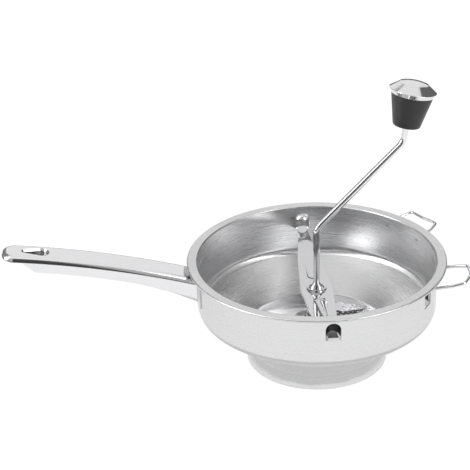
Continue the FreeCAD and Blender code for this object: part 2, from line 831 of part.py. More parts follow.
# ---------------------------------------------------------------- handle
def handle_centre():
    """Centre, in the XZ plane, of the handle's long arc; its top starts at the wall."""
    slope = math.radians(size("handle_root_slope"))
    start = Vector(-size("wall_radius"), 0, size("handle_root_height"))
    return start + Vector(-math.sin(slope), 0, -math.cos(slope)) * size("handle_arc")


def handle_top(reach):
    """Height of the handle's top line at a distance from the bowl's axis."""
    centre = handle_centre()
    across = -reach - centre.x
    return centre.z + math.sqrt(size("handle_arc") ** 2 - across * across)


def handle_round(depth, width):
    """A cylinder across the handle, struck from its long arc, depth below the top."""
    centre = handle_centre()
    return Part.makeCylinder(size("handle_arc") - depth, width,
                             Vector(centre.x, -width / 2, centre.z), Y_AXIS)


def plan_outline(half, root, tip, corner):
    """An upright prism with straight sides from the root and a round end at the tip."""
    edges = rounded_path(
        [Vector(-root, half, 0), Vector(-tip, half, 0), Vector(-tip, -half, 0),
         Vector(-root, -half, 0)], [corner, corner])
    edges.append(Part.LineSegment(Vector(-root, -half, 0), Vector(-root, half, 0)).toShape())
    return Part.Face(Part.Wire(edges)).extrude(Vector(0, 0, 2 * size("rim_height")))


def handle_root():
    return size("wall_radius") + size("weld_gap") + size("bracket_thick") + size("weld_gap")


def drop_wire(grow, height):
    """A drop outline, round towards the bowl and narrow towards the tip, at a height."""
    half = size("hang_half_width") + grow
    small = size("hang_tip_radius") + grow
    reach = size("hang_length") / 2 - size("hang_half_width")
    far = size("hang_tip_radius") - size("hang_length") / 2
    return Part.Wire([
        Part.Arc(Vector(reach, half, height), Vector(reach + half, 0, height),
                 Vector(reach, -half, height)).toShape(),
        Part.LineSegment(Vector(reach, -half, height), Vector(far, -small, height)).toShape(),
        Part.Arc(Vector(far, -small, height), Vector(far - small, 0, height),
                 Vector(far, small, height)).toShape(),
        Part.LineSegment(Vector(far, small, height), Vector(reach, half, height)).toShape(),
    ])


def drop_cutter(levels_and_grows):
    """A drop shaped cutter square to the handle's top, through (height, grow) sections."""
    wires = [drop_wire(grow, height) for height, grow in levels_and_grows]
    cutter = Part.makeLoft(wires, True, True)
    reach = size("hang_reach")
    across = -reach - handle_centre().x
    lean = math.degrees(math.asin(across / size("handle_arc")))
    cutter.rotate(ORIGIN, Y_AXIS, lean)
    cutter.translate(Vector(-reach, 0, handle_top(reach)))
    return cutter


def rounded_slab(inset, depth):
    """The handle's blank, inset all round and on top, with its top edge rounded over."""
    width = 2 * size("handle_width")
    buried = handle_root() - size("blank_overrun")
    blank = plan_outline(size("handle_width") / 2 - inset, buried, size("handle_tip") - inset,
                         size("tip_round") - inset)
    blank = blank.common(handle_round(inset, width)).cut(handle_round(4 * depth, width))
    rim = [e for e in blank.Edges if top_edge(e, inset, buried + 1.0)]
    return blank.makeFillet(size("pan_round") - inset, rim).cut(handle_round(depth, width))


def pan_clearance(side):
    """How far the inside of the pan's rounded edge has dropped at a distance from its middle."""
    radius = size("pan_round") - size("pan_sheet")
    past = max(0.0, side - size("handle_width") / 2 + size("pan_round"))
    return radius - math.sqrt(radius * radius - past * past)


def make_handle():
    root = handle_root()
    sheet = size("pan_sheet")
    width = 2 * size("handle_width")
    depth = size("pan_depth")
    slab = rounded_slab(0.0, depth)
    hollow = rounded_slab(sheet, 2 * depth)
    wall = Part.makeCylinder(root, 2 * size("rim_height"))
    bevel = size("hang_bevel")
    funnel = drop_cutter([(bevel, 2 * bevel + sheet), (-bevel, sheet), (-depth, sheet)])
    mouth = drop_cutter([(bevel, 2 * bevel), (-bevel, 0.0), (-8 * depth, 0.0)])
    funnel = funnel.common(handle_round(0.0, width))
    pan = slab.cut(hollow).fuse(funnel).cut(mouth).cut(wall)
    shape_node("handle_shell", pan)

    def keel_block(inset):
        centre = handle_centre()
        arc = size("handle_arc")
        joint = size("keel_sweep")
        below = size("keel_depth") - inset
        above = sheet + pan_clearance(size("keel_half")) + size("weld_gap") - inset

        def under(reach, deep):
            radius = arc - deep
            across = -reach - centre.x
            return Vector(-reach, 0, centre.z + math.sqrt(radius * radius - across * across))

        wall_point = size("wall_radius") - size("blank_overrun")
        end = size("keel_end") - inset
        low_end = end - size("keel_rake")
        lip = above + size("keel_lip")
        foot = Vector(-wall_point, 0, size("handle_root_height") - size("keel_root_depth") + inset)
        knee = under(joint, below)
        normal = (knee - centre).normalize()
        heading = Vector(-normal.z, 0, normal.x)
        if heading.x < 0:
            heading = heading * -1
        span = foot - knee
        tangent = heading * (span.Length * 0.5)
        spline = Part.BezierCurve()
        spline.setPoles([knee, knee + tangent, foot + (span.normalize() * -span.Length * 0.35), foot])
        far_low = under(low_end, below)
        edges = [
            Part.Arc(under(wall_point, above), under((wall_point + end) / 2, above),
                     under(end, above)).toShape(),
            Part.LineSegment(under(end, above), under(end, lip)).toShape(),
            Part.LineSegment(under(end, lip), far_low).toShape(),
            Part.Arc(far_low, under((low_end + joint) / 2, below), knee).toShape(),
            spline.toShape(),
            Part.LineSegment(foot, under(wall_point, above)).toShape(),
        ]
        side = size("keel_half") - inset
        face = Part.Face(Part.Wire(Part.sortEdges(edges)[0]))
        face.translate(Vector(0, -side, 0))
        block = face.extrude(Vector(0, 2 * side, 0))
        heel = [edge for edge in block.Edges if edge.BoundBox.YLength > side
                and abs(edge.CenterOfMass.x - far_low.x) < 1e-3]
        return block.makeFillet(size("keel_heel") - inset, heel)

    keel_sheet = sheet
    outer = keel_block(0.0)
    outer = round_keel(outer, size("keel_round"))
    inner = keel_block(keel_sheet)
    inner = round_keel(inner, size("keel_round") - keel_sheet)
    through = drop_cutter([(depth, sheet + 0.3), (-8 * depth, sheet + 0.3)])
    keel = outer.cut(inner).cut(wall).cut(through)
    shape_node("handle_keel", keel)


def top_edge(edge, depth, root):
    """True for an edge that lies on the handle's long arc, depth below it, past the root."""
    centre = handle_centre()
    middle = edge.valueAt((edge.FirstParameter + edge.LastParameter) / 2)
    distance = math.hypot(middle.x - centre.x, middle.z - centre.z)
    return abs(distance - size("handle_arc") + depth) < 1e-3 and middle.x < -root


def round_keel(block, radius):
    """Round the long lower edges of the keel and its raked end."""
    centre = handle_centre()
    chosen = []
    for edge in block.Edges:
        middle = edge.valueAt((edge.FirstParameter + edge.LastParameter) / 2)
        along = edge.BoundBox.XLength > 1.0
        deep = size("handle_arc") - math.hypot(middle.x - centre.x, middle.z - centre.z)
        if along and abs(middle.y) > 1.0 and deep > size("pan_depth") + size("keel_lip") / 2:
            chosen.append(edge)
    return block.makeFillet(radius, chosen)


def make_bracket():
    """The curved plate that joins the handle to the wall."""
    inner = size("wall_radius") + size("weld_gap")
    outer = inner + size("bracket_thick")
    half = size("bracket_half_angle")
    low = size("bracket_foot")
    height = size("bracket_top") - low
    plate = Part.Face(Part.makePolygon([
        Vector(inner, 0, low), Vector(outer, 0, low), Vector(outer, 0, low + height),
        Vector(inner, 0, low + height), Vector(inner, 0, low)])).revolve(ORIGIN, Z_AXIS, 2 * half)
    plate.rotate(ORIGIN, Z_AXIS, 180.0 - half)
    return shape_node("handle_bracket", plate)


# ---------------------------------------------------------------- wire hooks
def hook_shape(nose_out):
    """One bent wire, pointing along +X from the wall, with its nose set out or in."""
    wall = size("wall_radius")
    half = size("hook_half_root")
    wire = size("hook_wire")
    start = math.sqrt(wall * wall - half * half) - wire
    side = [
        Vector(start, half, size("hook_weld_height")),
        Vector(size("hook_knee_reach"), size("hook_half_knee"), size("hook_knee_height")),
        Vector(size("hook_end_reach"), size("hook_half_end"), size("hook_end_height")),
    ]
    nose = Vector(size("hook_end_reach") + nose_out, 0, size("hook_end_height"))
    points = side + [nose] + [Vector(p.x, -p.y, p.z) for p in reversed(side)]
    bend = size("hook_bend")
    radii = [bend, bend * 0.8, bend * 6, bend * 0.8, bend]
    wire_bar = pipe(rounded_path(points, radii), wire)
    return wire_bar.cut(Part.makeCylinder(wall + size("weld_gap"), size("rim_height")))


def make_hooks():
    spots = []
    inner = size("wall_radius") - size("sheet")
    lean = math.degrees(math.asin(size("hook_half_root") / size("wall_radius")))
    for label, row in (("pot_hook_side", "side_hook"), ("pot_hook_back", "back_hook")):
        angle = size(row + "_angle")
        lift = size(row + "_lift")
        place = Placement(Vector(0, 0, lift), Rotation(Z_AXIS, angle))
        shape_node(label, hook_shape(size(row + "_nose")), place)
        for side in (-lean, lean):
            spot = Part.makeCone(size("weld_radius"), size("weld_radius") * 0.6, size("weld_rise") + 1.0,
                                 Vector(inner + 1.0, 0, size("hook_weld_height")), X_AXIS * -1)
            spot = spot.common(Part.makeCylinder(inner - size("weld_gap") / 2, size("rim_height")))
            spot.translate(Vector(0, 0, lift))
            spots.append(turn(spot, angle + side))
    return shape_node("hook_welds", Part.makeCompound(spots))


def build():
    make_bowl()
    make_sieve()
    make_crossbar()
    make_stack()
    make_spring()
    make_rod()
    make_blade()
    make_knob()
    make_handle()
    make_bracket()
    make_hooks()


def check_and_write():
    """Stop on any failed object or bad shape, then write one file for each sub-part."""
    DOC.recompute()
    for obj in DOC.Objects:
        if "Invalid" in obj.State or "Error" in obj.State:
            raise RuntimeError("failed object: " + obj.Name)
    for node in NODES:
        if node.Shape.isNull() or not node.Shape.isValid() or not node.Shape.Solids:
            raise RuntimeError("bad shape: " + node.Label)
    os.makedirs("parts", exist_ok=True)
    for node in NODES:
        node.Shape.exportStep(os.path.join("parts", node.Label + ".step"))
        print("%-18s solids %d volume %.0f" % (node.Label, len(node.Shape.Solids), node.Shape.Volume))


build()
check_and_write()
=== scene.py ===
"""Dresses the hand cranked food mill: steel finishes, fine pieces, studio and camera."""
from __future__ import annotations

import json
import logging
import math
from collections.abc import Callable
from dataclasses import dataclass, field
from enum import Enum

import bmesh
import bpy
from mathutils import Matrix, Vector
from mathutils.geometry import delaunay_2d_cdt


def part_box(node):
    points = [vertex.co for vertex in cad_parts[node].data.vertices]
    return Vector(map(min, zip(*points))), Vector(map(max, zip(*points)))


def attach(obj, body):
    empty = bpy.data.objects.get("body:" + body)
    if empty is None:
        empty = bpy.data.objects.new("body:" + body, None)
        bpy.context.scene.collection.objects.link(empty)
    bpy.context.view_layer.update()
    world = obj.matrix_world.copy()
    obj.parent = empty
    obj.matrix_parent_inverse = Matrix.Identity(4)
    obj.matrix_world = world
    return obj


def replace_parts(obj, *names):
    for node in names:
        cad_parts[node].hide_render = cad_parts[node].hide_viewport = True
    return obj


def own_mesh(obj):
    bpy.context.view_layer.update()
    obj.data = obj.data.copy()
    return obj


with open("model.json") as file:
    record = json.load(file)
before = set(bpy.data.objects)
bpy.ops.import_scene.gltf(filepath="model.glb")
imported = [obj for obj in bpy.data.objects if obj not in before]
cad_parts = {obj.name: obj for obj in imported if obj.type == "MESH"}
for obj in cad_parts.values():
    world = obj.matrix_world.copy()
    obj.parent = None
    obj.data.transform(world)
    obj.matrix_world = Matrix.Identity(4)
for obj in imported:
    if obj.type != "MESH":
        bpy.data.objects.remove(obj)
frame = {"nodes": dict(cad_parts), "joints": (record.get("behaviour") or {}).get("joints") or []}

logging.basicConfig(level=logging.INFO, format="%(message)s")
LOG = logging.getLogger("food_mill")

WELD_REACH = 2e-6
SEAM_REACH = 1e-7
FACE_LIMIT = 1e-16
CREASE_DEG = 14.0
Section = list[tuple[Vector, Vector]]


class Grain(Enum):
    """The direction that the polishing lines of a metal piece run in."""

    AROUND = "around the mill's axis"
    ALONG_HANDLE = "along the handle"
    ALONG_BAR = "along the crossbar"
    NONE = "no lines"


class Body(Enum):
    """The rigid bodies of the mill, as the frame names them."""

    MILL = "mill"
    WASHER = "lift_washer"
    CRANK = "crank"
    KNOB = "knob"


# --------------------------------------------------------------------------- node helpers
class Tree:
    """A thin wrapper that adds and links nodes in one node tree."""

    def __init__(self, tree: bpy.types.NodeTree) -> None:
        """Keep the tree.

        Args:
            tree: the node tree that is written to.
        """
        self.tree = tree

    def add(self, kind: str, **settings: object) -> bpy.types.Node:
        """Add one node.

        Args:
            kind: the node's type name.
            settings: attributes of the node, or values of its inputs by socket name.

        Returns:
            The new node.
        """
        node = self.tree.nodes.new(kind)
        for key, value in settings.items():
            if hasattr(node, key):
                setattr(node, key, value)
            else:
                node.inputs[key.replace("_", " ")].default_value = value
        return node

    def link(self, source: bpy.types.NodeSocket, target: bpy.types.NodeSocket) -> None:
        """Join an output socket to an input socket."""
        self.tree.links.new(source, target)

    def math(self, operation: str, first: object, second: object = 0.0) -> bpy.types.NodeSocket:
        """Add a Math node.

        Args:
            operation: the operation's name.
            first: a socket or a number.
            second: a socket or a number.

        Returns:
            The node's result.
        """
        node = self.add("ShaderNodeMath", operation=operation)
        for index, value in enumerate((first, second)):
            if isinstance(value, bpy.types.NodeSocket):
                self.link(value, node.inputs[index])
            else:
                node.inputs[index].default_value = value
        return node.outputs[0]

    def ramp(self, source: bpy.types.NodeSocket, low: float, high: float,
             out_low: float, out_high: float) -> bpy.types.NodeSocket:
        """Map a value from one range to another, held at both ends.

        Args:
            source: the value.
            low: start of the source range.
            high: end of the source range.
            out_low: result at the start.
            out_high: result at the end.

        Returns:
            The mapped value.
        """
        node = self.add("ShaderNodeMapRange", From_Min=low, From_Max=high, To_Min=out_low,
                        To_Max=out_high)
        self.link(source, node.inputs["Value"])
        return node.outputs["Result"]

    def place(self) -> bpy.types.NodeSocket:
        """The object's own coordinates."""
        return self.add("ShaderNodeTexCoord").outputs["Object"]

    def noise(self, place: bpy.types.NodeSocket, scale: float, detail: float,
              roughness: float = 0.5) -> bpy.types.NodeSocket:
        """Add a noise texture.

        Args:
            place: the coordinates.
            scale: how fine it is.
            detail: how many octaves it has.
            roughness: how strong the fine octaves are.

        Returns:
            The noise's value.
        """
        node = self.add("ShaderNodeTexNoise", Scale=scale, Detail=detail, Roughness=roughness)
        self.link(place, node.inputs["Vector"])
        return node.outputs["Fac"]

    def shade(self, share: bpy.types.NodeSocket, first: list[float],
              second: list[float]) -> bpy.types.NodeSocket:
        """Mix two colours.

        Args:
            share: 0 for the first colour, 1 for the second.
            first: red, green and blue.
            second: red, green and blue.

        Returns:
            The mixed colour.
        """
        node = self.add("ShaderNodeMix", data_type="RGBA")
        node.inputs["A"].default_value = (*first, 1.0)
        node.inputs["B"].default_value = (*second, 1.0)
        self.link(share, node.inputs["Factor"])
        return node.outputs["Result"]

    def bump(self, height: bpy.types.NodeSocket, strength: float,
             distance: float) -> bpy.types.NodeSocket:
        """Add a bump.

        Args:
            height: the height of the relief.
            strength: how strongly it shows.
            distance: the relief's depth in metres.

        Returns:
            The bumped normal.
        """
        node = self.add("ShaderNodeBump", Strength=strength, Distance=distance)
        self.link(height, node.inputs["Height"])
        return node.outputs["Normal"]


def new_material(name: str, shader_kind: str = "ShaderNodeBsdfPrincipled",
                 **settings: object) -> tuple[bpy.types.Material, Tree, bpy.types.Node]:
    """Start a material with one shader.

    Args:
        name: the material's name.
        shader_kind: the shader node's type name.
        settings: values of the shader's inputs by socket name.

    Returns:
        The material, its tree and its shader node.
    """
    material = bpy.data.materials.new(name)
    material.use_nodes = True
    material.node_tree.nodes.clear()
    tree = Tree(material.node_tree)
    shader = tree.add(shader_kind, **settings)
    output = tree.add("ShaderNodeOutputMaterial")
    tree.link(shader.outputs[0], output.inputs["Surface"])
    return material, tree, shader


# --------------------------------------------------------------------------- finishes
@dataclass(frozen=True)
class SteelFinish:
    """Stainless steel with polishing lines, faint clouding and fine scratches."""

    name: str
    tone: tuple[float, float, float] = (0.70, 0.70, 0.71)
    roughness: float = 0.25
    roughness_spread: float = 0.08
    anisotropy: float = 0.0
    grain: Grain = Grain.NONE
    line_pitch: float = 0.0006
    line_depth: float = 0.1
    line_relief: float = 0.00005
    line_detail: float = 3.0
    line_roughness: float = 0.6
    line_share: float = 0.7
    along_scale: float = 22.0
    around_scale: float = 0.5
    radius_share: float = 0.8
    least_radius: float = 0.0001
    cloud: float = 0.05
    cloud_scale: float = 34.0
    cloud_detail: float = 4.0
    roughness_span: tuple[float, float] = (0.35, 0.65)
    tone_span: tuple[float, float] = (0.38, 0.62)

    def grain_vector(self, tree: Tree) -> bpy.types.NodeSocket:
        """Coordinates that change fast across the polishing lines and slowly along them.

        Args:
            tree: the material's tree.

        Returns:
            The coordinates.
        """
        place = tree.place()
        fast = 1.0 / self.line_pitch
        if self.grain is Grain.AROUND:
            split = tree.add("ShaderNodeSeparateXYZ")
            tree.link(place, split.inputs[0])
            radius = tree.math("SQRT", tree.math(
                "ADD", tree.math("POWER", split.outputs["X"], 2.0),
                tree.math("POWER", split.outputs["Y"], 2.0)))
            radius = tree.math("MAXIMUM", radius, self.least_radius)
            across = tree.math("ADD", split.outputs["Z"],
                               tree.math("MULTIPLY", radius, self.radius_share))
            joined = tree.add("ShaderNodeCombineXYZ")
            for axis in ("X", "Y"):
                share = tree.math("DIVIDE", split.outputs[axis], radius)
                tree.link(tree.math("MULTIPLY", share, self.around_scale), joined.inputs[axis])
            tree.link(tree.math("MULTIPLY", across, fast), joined.inputs["Z"])
            return joined.outputs[0]
        even = fast / 3
        scales = {Grain.ALONG_HANDLE: (self.along_scale, fast, fast),
                  Grain.ALONG_BAR: (fast, self.along_scale, fast),
                  Grain.NONE: (even, even, even)}
        mapping = tree.add("ShaderNodeMapping", Scale=scales[self.grain])
        tree.link(place, mapping.inputs["Vector"])
        return mapping.outputs[0]

    def tangent(self, tree: Tree) -> bpy.types.NodeSocket:
        """The direction of the polishing lines round the mill's axis, in the world's axes.

        Args:
            tree: the material's tree.

        Returns:
            The direction.
        """
        across = tree.add("ShaderNodeVectorMath", operation="CROSS_PRODUCT")
        across.inputs[0].default_value = (0.0, 0.0, 1.0)
        tree.link(tree.place(), across.inputs[1])
        turned = tree.add("ShaderNodeVectorTransform", vector_type="VECTOR",
                          convert_from="OBJECT", convert_to="WORLD")
        tree.link(across.outputs[0], turned.inputs[0])
        return turned.outputs[0]

    def build(self) -> bpy.types.Material:
        """Make the material.

        Returns:
            The finished material.
        """
        material, tree, shader = new_material(self.name, Metallic=1.0)
        lines = tree.noise(self.grain_vector(tree), 1.0, self.line_detail, self.line_roughness)
        clouds = tree.noise(tree.place(), self.cloud_scale, self.cloud_detail)
        blend = tree.math("ADD", tree.math("MULTIPLY", lines, self.line_share),
                          tree.math("MULTIPLY", clouds, 1.0 - self.line_share))
        half = self.roughness_spread
        tree.link(tree.ramp(blend, *self.roughness_span, self.roughness - half,
                            self.roughness + half), shader.inputs["Roughness"])
        dark = [c * (1.0 - self.cloud) for c in self.tone]
        light = [min(1.0, c * (1.0 + self.cloud)) for c in self.tone]
        tree.link(tree.shade(tree.ramp(blend, *self.tone_span, 0.0, 1.0), dark, light),
                  shader.inputs["Base Color"])
        if self.anisotropy > 0.0:
            shader.inputs["Anisotropic"].default_value = self.anisotropy
            tree.link(self.tangent(tree), shader.inputs["Tangent"])
        tree.link(tree.bump(lines, self.line_depth, self.line_relief), shader.inputs["Normal"])
        return material


@dataclass(frozen=True)
class GripFinish:
    """Black moulded plastic with a fine satin texture."""

    name: str
    tone: tuple[float, float, float] = (0.016, 0.016, 0.017)
    worn_tone: float = 1.5
    polished: float = 0.37
    worn: float = 0.49
    wear_scale: float = 60.0
    wear_detail: float = 5.0
    wear_span: tuple[float, float] = (0.35, 0.65)
    texture_scale: float = 2600.0
    texture_detail: float = 2.0
    texture_strength: float = 0.12
    texture_relief: float = 0.00006

    def build(self) -> bpy.types.Material:
        """Make the material.

        Returns:
            The finished material.
        """
        material, tree, shader = new_material(self.name)
        texture = tree.noise(tree.place(), self.texture_scale, self.texture_detail)
        wear = tree.noise(tree.place(), self.wear_scale, self.wear_detail)
        tree.link(tree.ramp(wear, *self.wear_span, self.polished, self.worn),
                  shader.inputs["Roughness"])
        tree.link(tree.shade(wear, list(self.tone), [c * self.worn_tone for c in self.tone]),
                  shader.inputs["Base Color"])
        tree.link(tree.bump(texture, self.texture_strength, self.texture_relief),
                  shader.inputs["Normal"])
        return material


class Finishes:
    """Every finish of the mill, built once."""

    def __init__(self) -> None:
        """Build the materials."""
        self.bowl = SteelFinish("bowl_satin_steel", tone=(0.67, 0.67, 0.675), roughness=0.28,
                                roughness_spread=0.03, anisotropy=0.86, grain=Grain.AROUND,
                                line_pitch=0.0007, line_depth=0.035, cloud=0.03).build()
        # Painted shade: near-black steel for the faces deep inside the slot hoods, standing in for
        # the shade that falls there.
        self.painted_shade = SteelFinish("slot_painted_shade_steel", tone=(0.05, 0.05, 0.05),
                                  roughness=0.4, cloud=0.1).build()
        self.disc = SteelFinish("disc_steel", roughness=0.32, grain=Grain.AROUND,
                                line_depth=0.1).build()
        self.bar = SteelFinish("bar_mirror_steel", tone=(0.60, 0.60, 0.61), roughness=0.09,
                               roughness_spread=0.03, grain=Grain.ALONG_BAR,
                               line_depth=0.03, cloud=0.02).build()
        self.handle = SteelFinish("handle_polished_steel", tone=(0.74, 0.74, 0.75),
                                  roughness=0.12, roughness_spread=0.04,
                                  grain=Grain.ALONG_HANDLE, line_depth=0.05,
                                  cloud=0.02).build()
        self.rod = SteelFinish("rod_polished_steel", tone=(0.72, 0.72, 0.73), roughness=0.1,
                               roughness_spread=0.03, line_depth=0.03, cloud=0.03).build()
        self.blade = SteelFinish("blade_polished_steel", tone=(0.70, 0.70, 0.71),
                                 roughness=0.14, roughness_spread=0.04, grain=Grain.AROUND,
                                 line_depth=0.05).build()
        self.cap = SteelFinish("cap_polished_steel", tone=(0.72, 0.72, 0.73), roughness=0.13,
                               roughness_spread=0.03, line_depth=0.03, cloud=0.03).build()
        self.fitting = SteelFinish("fitting_steel", tone=(0.64, 0.64, 0.65), roughness=0.22,
                                   line_depth=0.06).build()
        self.wire = SteelFinish("wire_steel", roughness=0.18, line_depth=0.05).build()
        self.weld = SteelFinish("weld_steel", tone=(0.45, 0.44, 0.43), roughness=0.38,
                                cloud=0.2, line_depth=0.4).build()
        self.grip = GripFinish("grip_black_plastic").build()


# --------------------------------------------------------------------------- mesh helpers
def add_piece(name: str, mesh: bpy.types.Mesh, body: Body,
              material: bpy.types.Material) -> bpy.types.Object:
    """Put a mesh into the scene as a piece that rides on a body.

    Args:
        name: the piece's name.
        mesh: its mesh, in the row frame.
        body: the body that carries it.
        material: its finish.

    Returns:
        The new object.
    """
    piece = bpy.data.objects.new(name, mesh)
    bpy.context.scene.collection.objects.link(piece)
    mesh.materials.clear()
    mesh.materials.append(material)
    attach(piece, body.value)
    LOG.info("piece %s: %d faces on %s", name, len(mesh.polygons), body.value)
    return piece


def mesh_with_normals(name: str, places: list[Vector], faces: list[tuple[int, ...]],
                      normals: list[Vector]) -> bpy.types.Mesh:
    """Make a smooth mesh with its own normal at every corner.

    Args:
        name: the mesh's name.
        places: its corners.
        faces: numbers of each face's corners.
        normals: the normals, face by face.

    Returns:
        The mesh.
    """
    mesh = bpy.data.meshes.new(name)
    mesh.from_pydata(places, [], faces)
    mesh.polygons.foreach_set("use_smooth", [True] * len(mesh.polygons))
    mesh.normals_split_custom_set([tuple(normal) for normal in normals])
    mesh.update()
    return mesh


def smooth_copy(node: str, spread_deg: float = CREASE_DEG) -> bpy.types.Mesh:
    """Copy a solid's mesh with its loose triangles joined and its own normals evened out.

    Args:
        node: the solid's name.
        spread_deg: normals at one corner that lie within this angle become one.

    Returns:
        A new mesh.
    """
    source = frame["nodes"][node].data
    work = bmesh.new()
    work.from_mesh(source)
    work.verts.ensure_lookup_table()
    doubles = bmesh.ops.find_doubles(work, verts=work.verts, dist=WELD_REACH)["targetmap"]
    joined = [doubles.get(vertex, vertex).index for vertex in work.verts]
    places = [vertex.co.copy() for vertex in work.verts]
    work.free()
    numbers = {index: count for count, index in enumerate(sorted(set(joined)))}
    faces, normals = [], []
    around: list[list[int]] = [[] for _ in numbers]
    for face in source.polygons:
        corners = [numbers[joined[index]] for index in face.vertices]
        if len(set(corners)) < len(corners):
            continue
        faces.append(corners)
        for corner, loop in zip(corners, face.loop_indices):
            around[corner].append(len(normals))
            normals.append(source.corner_normals[loop].vector.copy())
    limit = math.cos(math.radians(spread_deg))
    even = list(normals)
    for group in around:
        for corner in group:
            near = (normals[other] for other in group
                    if normals[other].dot(normals[corner]) > limit)
            even[corner] = sum(near, Vector()).normalized()
    return mesh_with_normals(node + "_fine", [places[index] for index in numbers], faces, even)


def replace_node(node: str, body: Body, material: bpy.types.Material,
                 spread_deg: float = CREASE_DEG) -> None:
    """Show a solid's smooth copy in its place.

    Args:
        node: the solid's name.
        body: the body that carries it.
        material: its finish.
        spread_deg: creases that turn by more than this stay crisp.
    """
    piece = add_piece(node + "_fine", smooth_copy(node, spread_deg), body, material)
    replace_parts(piece, node)


def joint_facts(name: str) -> dict:
    """Look up what the frame says of one joint."""
    return next(joint for joint in frame["joints"] if joint["name"] == name)


# --------------------------------------------------------------------------- geometry nodes
class Grower:
    """A Geometry Nodes tree with named inputs that is run once into a plain mesh."""

    def __init__(self, name: str) -> None:
        """Start the tree.

        Args:
            name: the tree's name.
        """
        self.group = bpy.data.node_groups.new(name, "GeometryNodeTree")
        for side in ("INPUT", "OUTPUT"):
            self.group.interface.new_socket("Geometry", in_out=side,
                                            socket_type="NodeSocketGeometry")
        self.tree = Tree(self.group)
        self.start = self.tree.add("NodeGroupInput")
        self.end = self.tree.add("NodeGroupOutput")
        self.values: dict[str, object] = {}

    def size(self, name: str, value: float) -> None:
        """Add a named size with a value.

        Args:
            name: the input's name.
            value: what the run uses.
        """
        socket = self.group.interface.new_socket(name, in_out="INPUT",
                                                 socket_type="NodeSocketFloat")
        self.values[socket.identifier] = value

    def given(self, name: str) -> bpy.types.NodeSocket:
        """The output of a named input."""
        return self.start.outputs[name]

    def circle(self, radius_name: str, sides: int) -> bpy.types.NodeSocket:
        """Add a circle.

        Args:
            radius_name: the named input that gives its radius.
            sides: how many sides it has.

        Returns:
            The curve.
        """
        node = self.tree.add("GeometryNodeCurvePrimitiveCircle", Resolution=sides)
        self.tree.link(self.given(radius_name), node.inputs["Radius"])
        return node.outputs[0]

    def tube(self, line: bpy.types.NodeSocket, radius_name: str, sides: int,
             capped: bool = False) -> bpy.types.NodeSocket:
        """Run a round section along a curve.

        Args:
            line: the curve.
            radius_name: the named input that gives the section's radius.
            sides: how many sides the section has.
            capped: whether the ends are closed.

        Returns:
            The tube.
        """
        node = self.tree.add("GeometryNodeCurveToMesh", Fill_Caps=capped)
        self.tree.link(line, node.inputs["Curve"])
        self.tree.link(self.circle(radius_name, sides), node.inputs["Profile Curve"])
        return node.outputs[0]

    def finish(self, geometry: bpy.types.NodeSocket, material: bpy.types.Material) -> None:
        """Close the tree with real geometry and one material.

        Args:
            geometry: the grown geometry.
            material: its finish.
        """
        real = self.tree.add("GeometryNodeRealizeInstances")
        dress = self.tree.add("GeometryNodeSetMaterial", Material=material)
        self.tree.link(geometry, real.inputs[0])
        self.tree.link(real.outputs[0], dress.inputs["Geometry"])
        self.tree.link(dress.outputs[0], self.end.inputs[0])

    def run(self, carrier_mesh: bpy.types.Mesh) -> bpy.types.Mesh:
        """Evaluate the tree on a carrier mesh.

        Args:
            carrier_mesh: the mesh that the tree starts from.

        Returns:
            The result as a plain mesh.
        """
        carrier = bpy.data.objects.new(self.group.name + "_carrier", carrier_mesh)
        bpy.context.scene.collection.objects.link(carrier)
        modifier = carrier.modifiers.new("grow", "NODES")
        modifier.node_group = self.group
        for identifier, value in self.values.items():
            modifier[identifier] = value
        bpy.context.view_layer.update()
        seen = carrier.evaluated_get(bpy.context.evaluated_depsgraph_get())
        mesh = bpy.data.meshes.new_from_object(seen)
        carrier.modifiers.remove(modifier)
        bpy.data.objects.remove(carrier)
        return mesh


def close_and_smooth(mesh: bpy.types.Mesh, limit_deg: float) -> bpy.types.Mesh:
    """Join doubled corners, point the faces outwards and smooth the curved ones.

    Args:
        mesh: the mesh that is changed.
        limit_deg: edges that turn by less than this are smooth.

    Returns:
        The same mesh.
    """
    work = bmesh.new()
    work.from_mesh(mesh)
    bmesh.ops.remove_doubles(work, verts=work.verts, dist=SEAM_REACH)
    bmesh.ops.recalc_face_normals(work, faces=work.faces)
    for face in work.faces:
        face.smooth = True
    for edge in work.edges:
        edge.smooth = len(edge.link_faces) == 2 and edge.calc_face_angle(0.0) < math.radians(
            limit_deg)
    work.to_mesh(mesh)
    work.free()
    return mesh


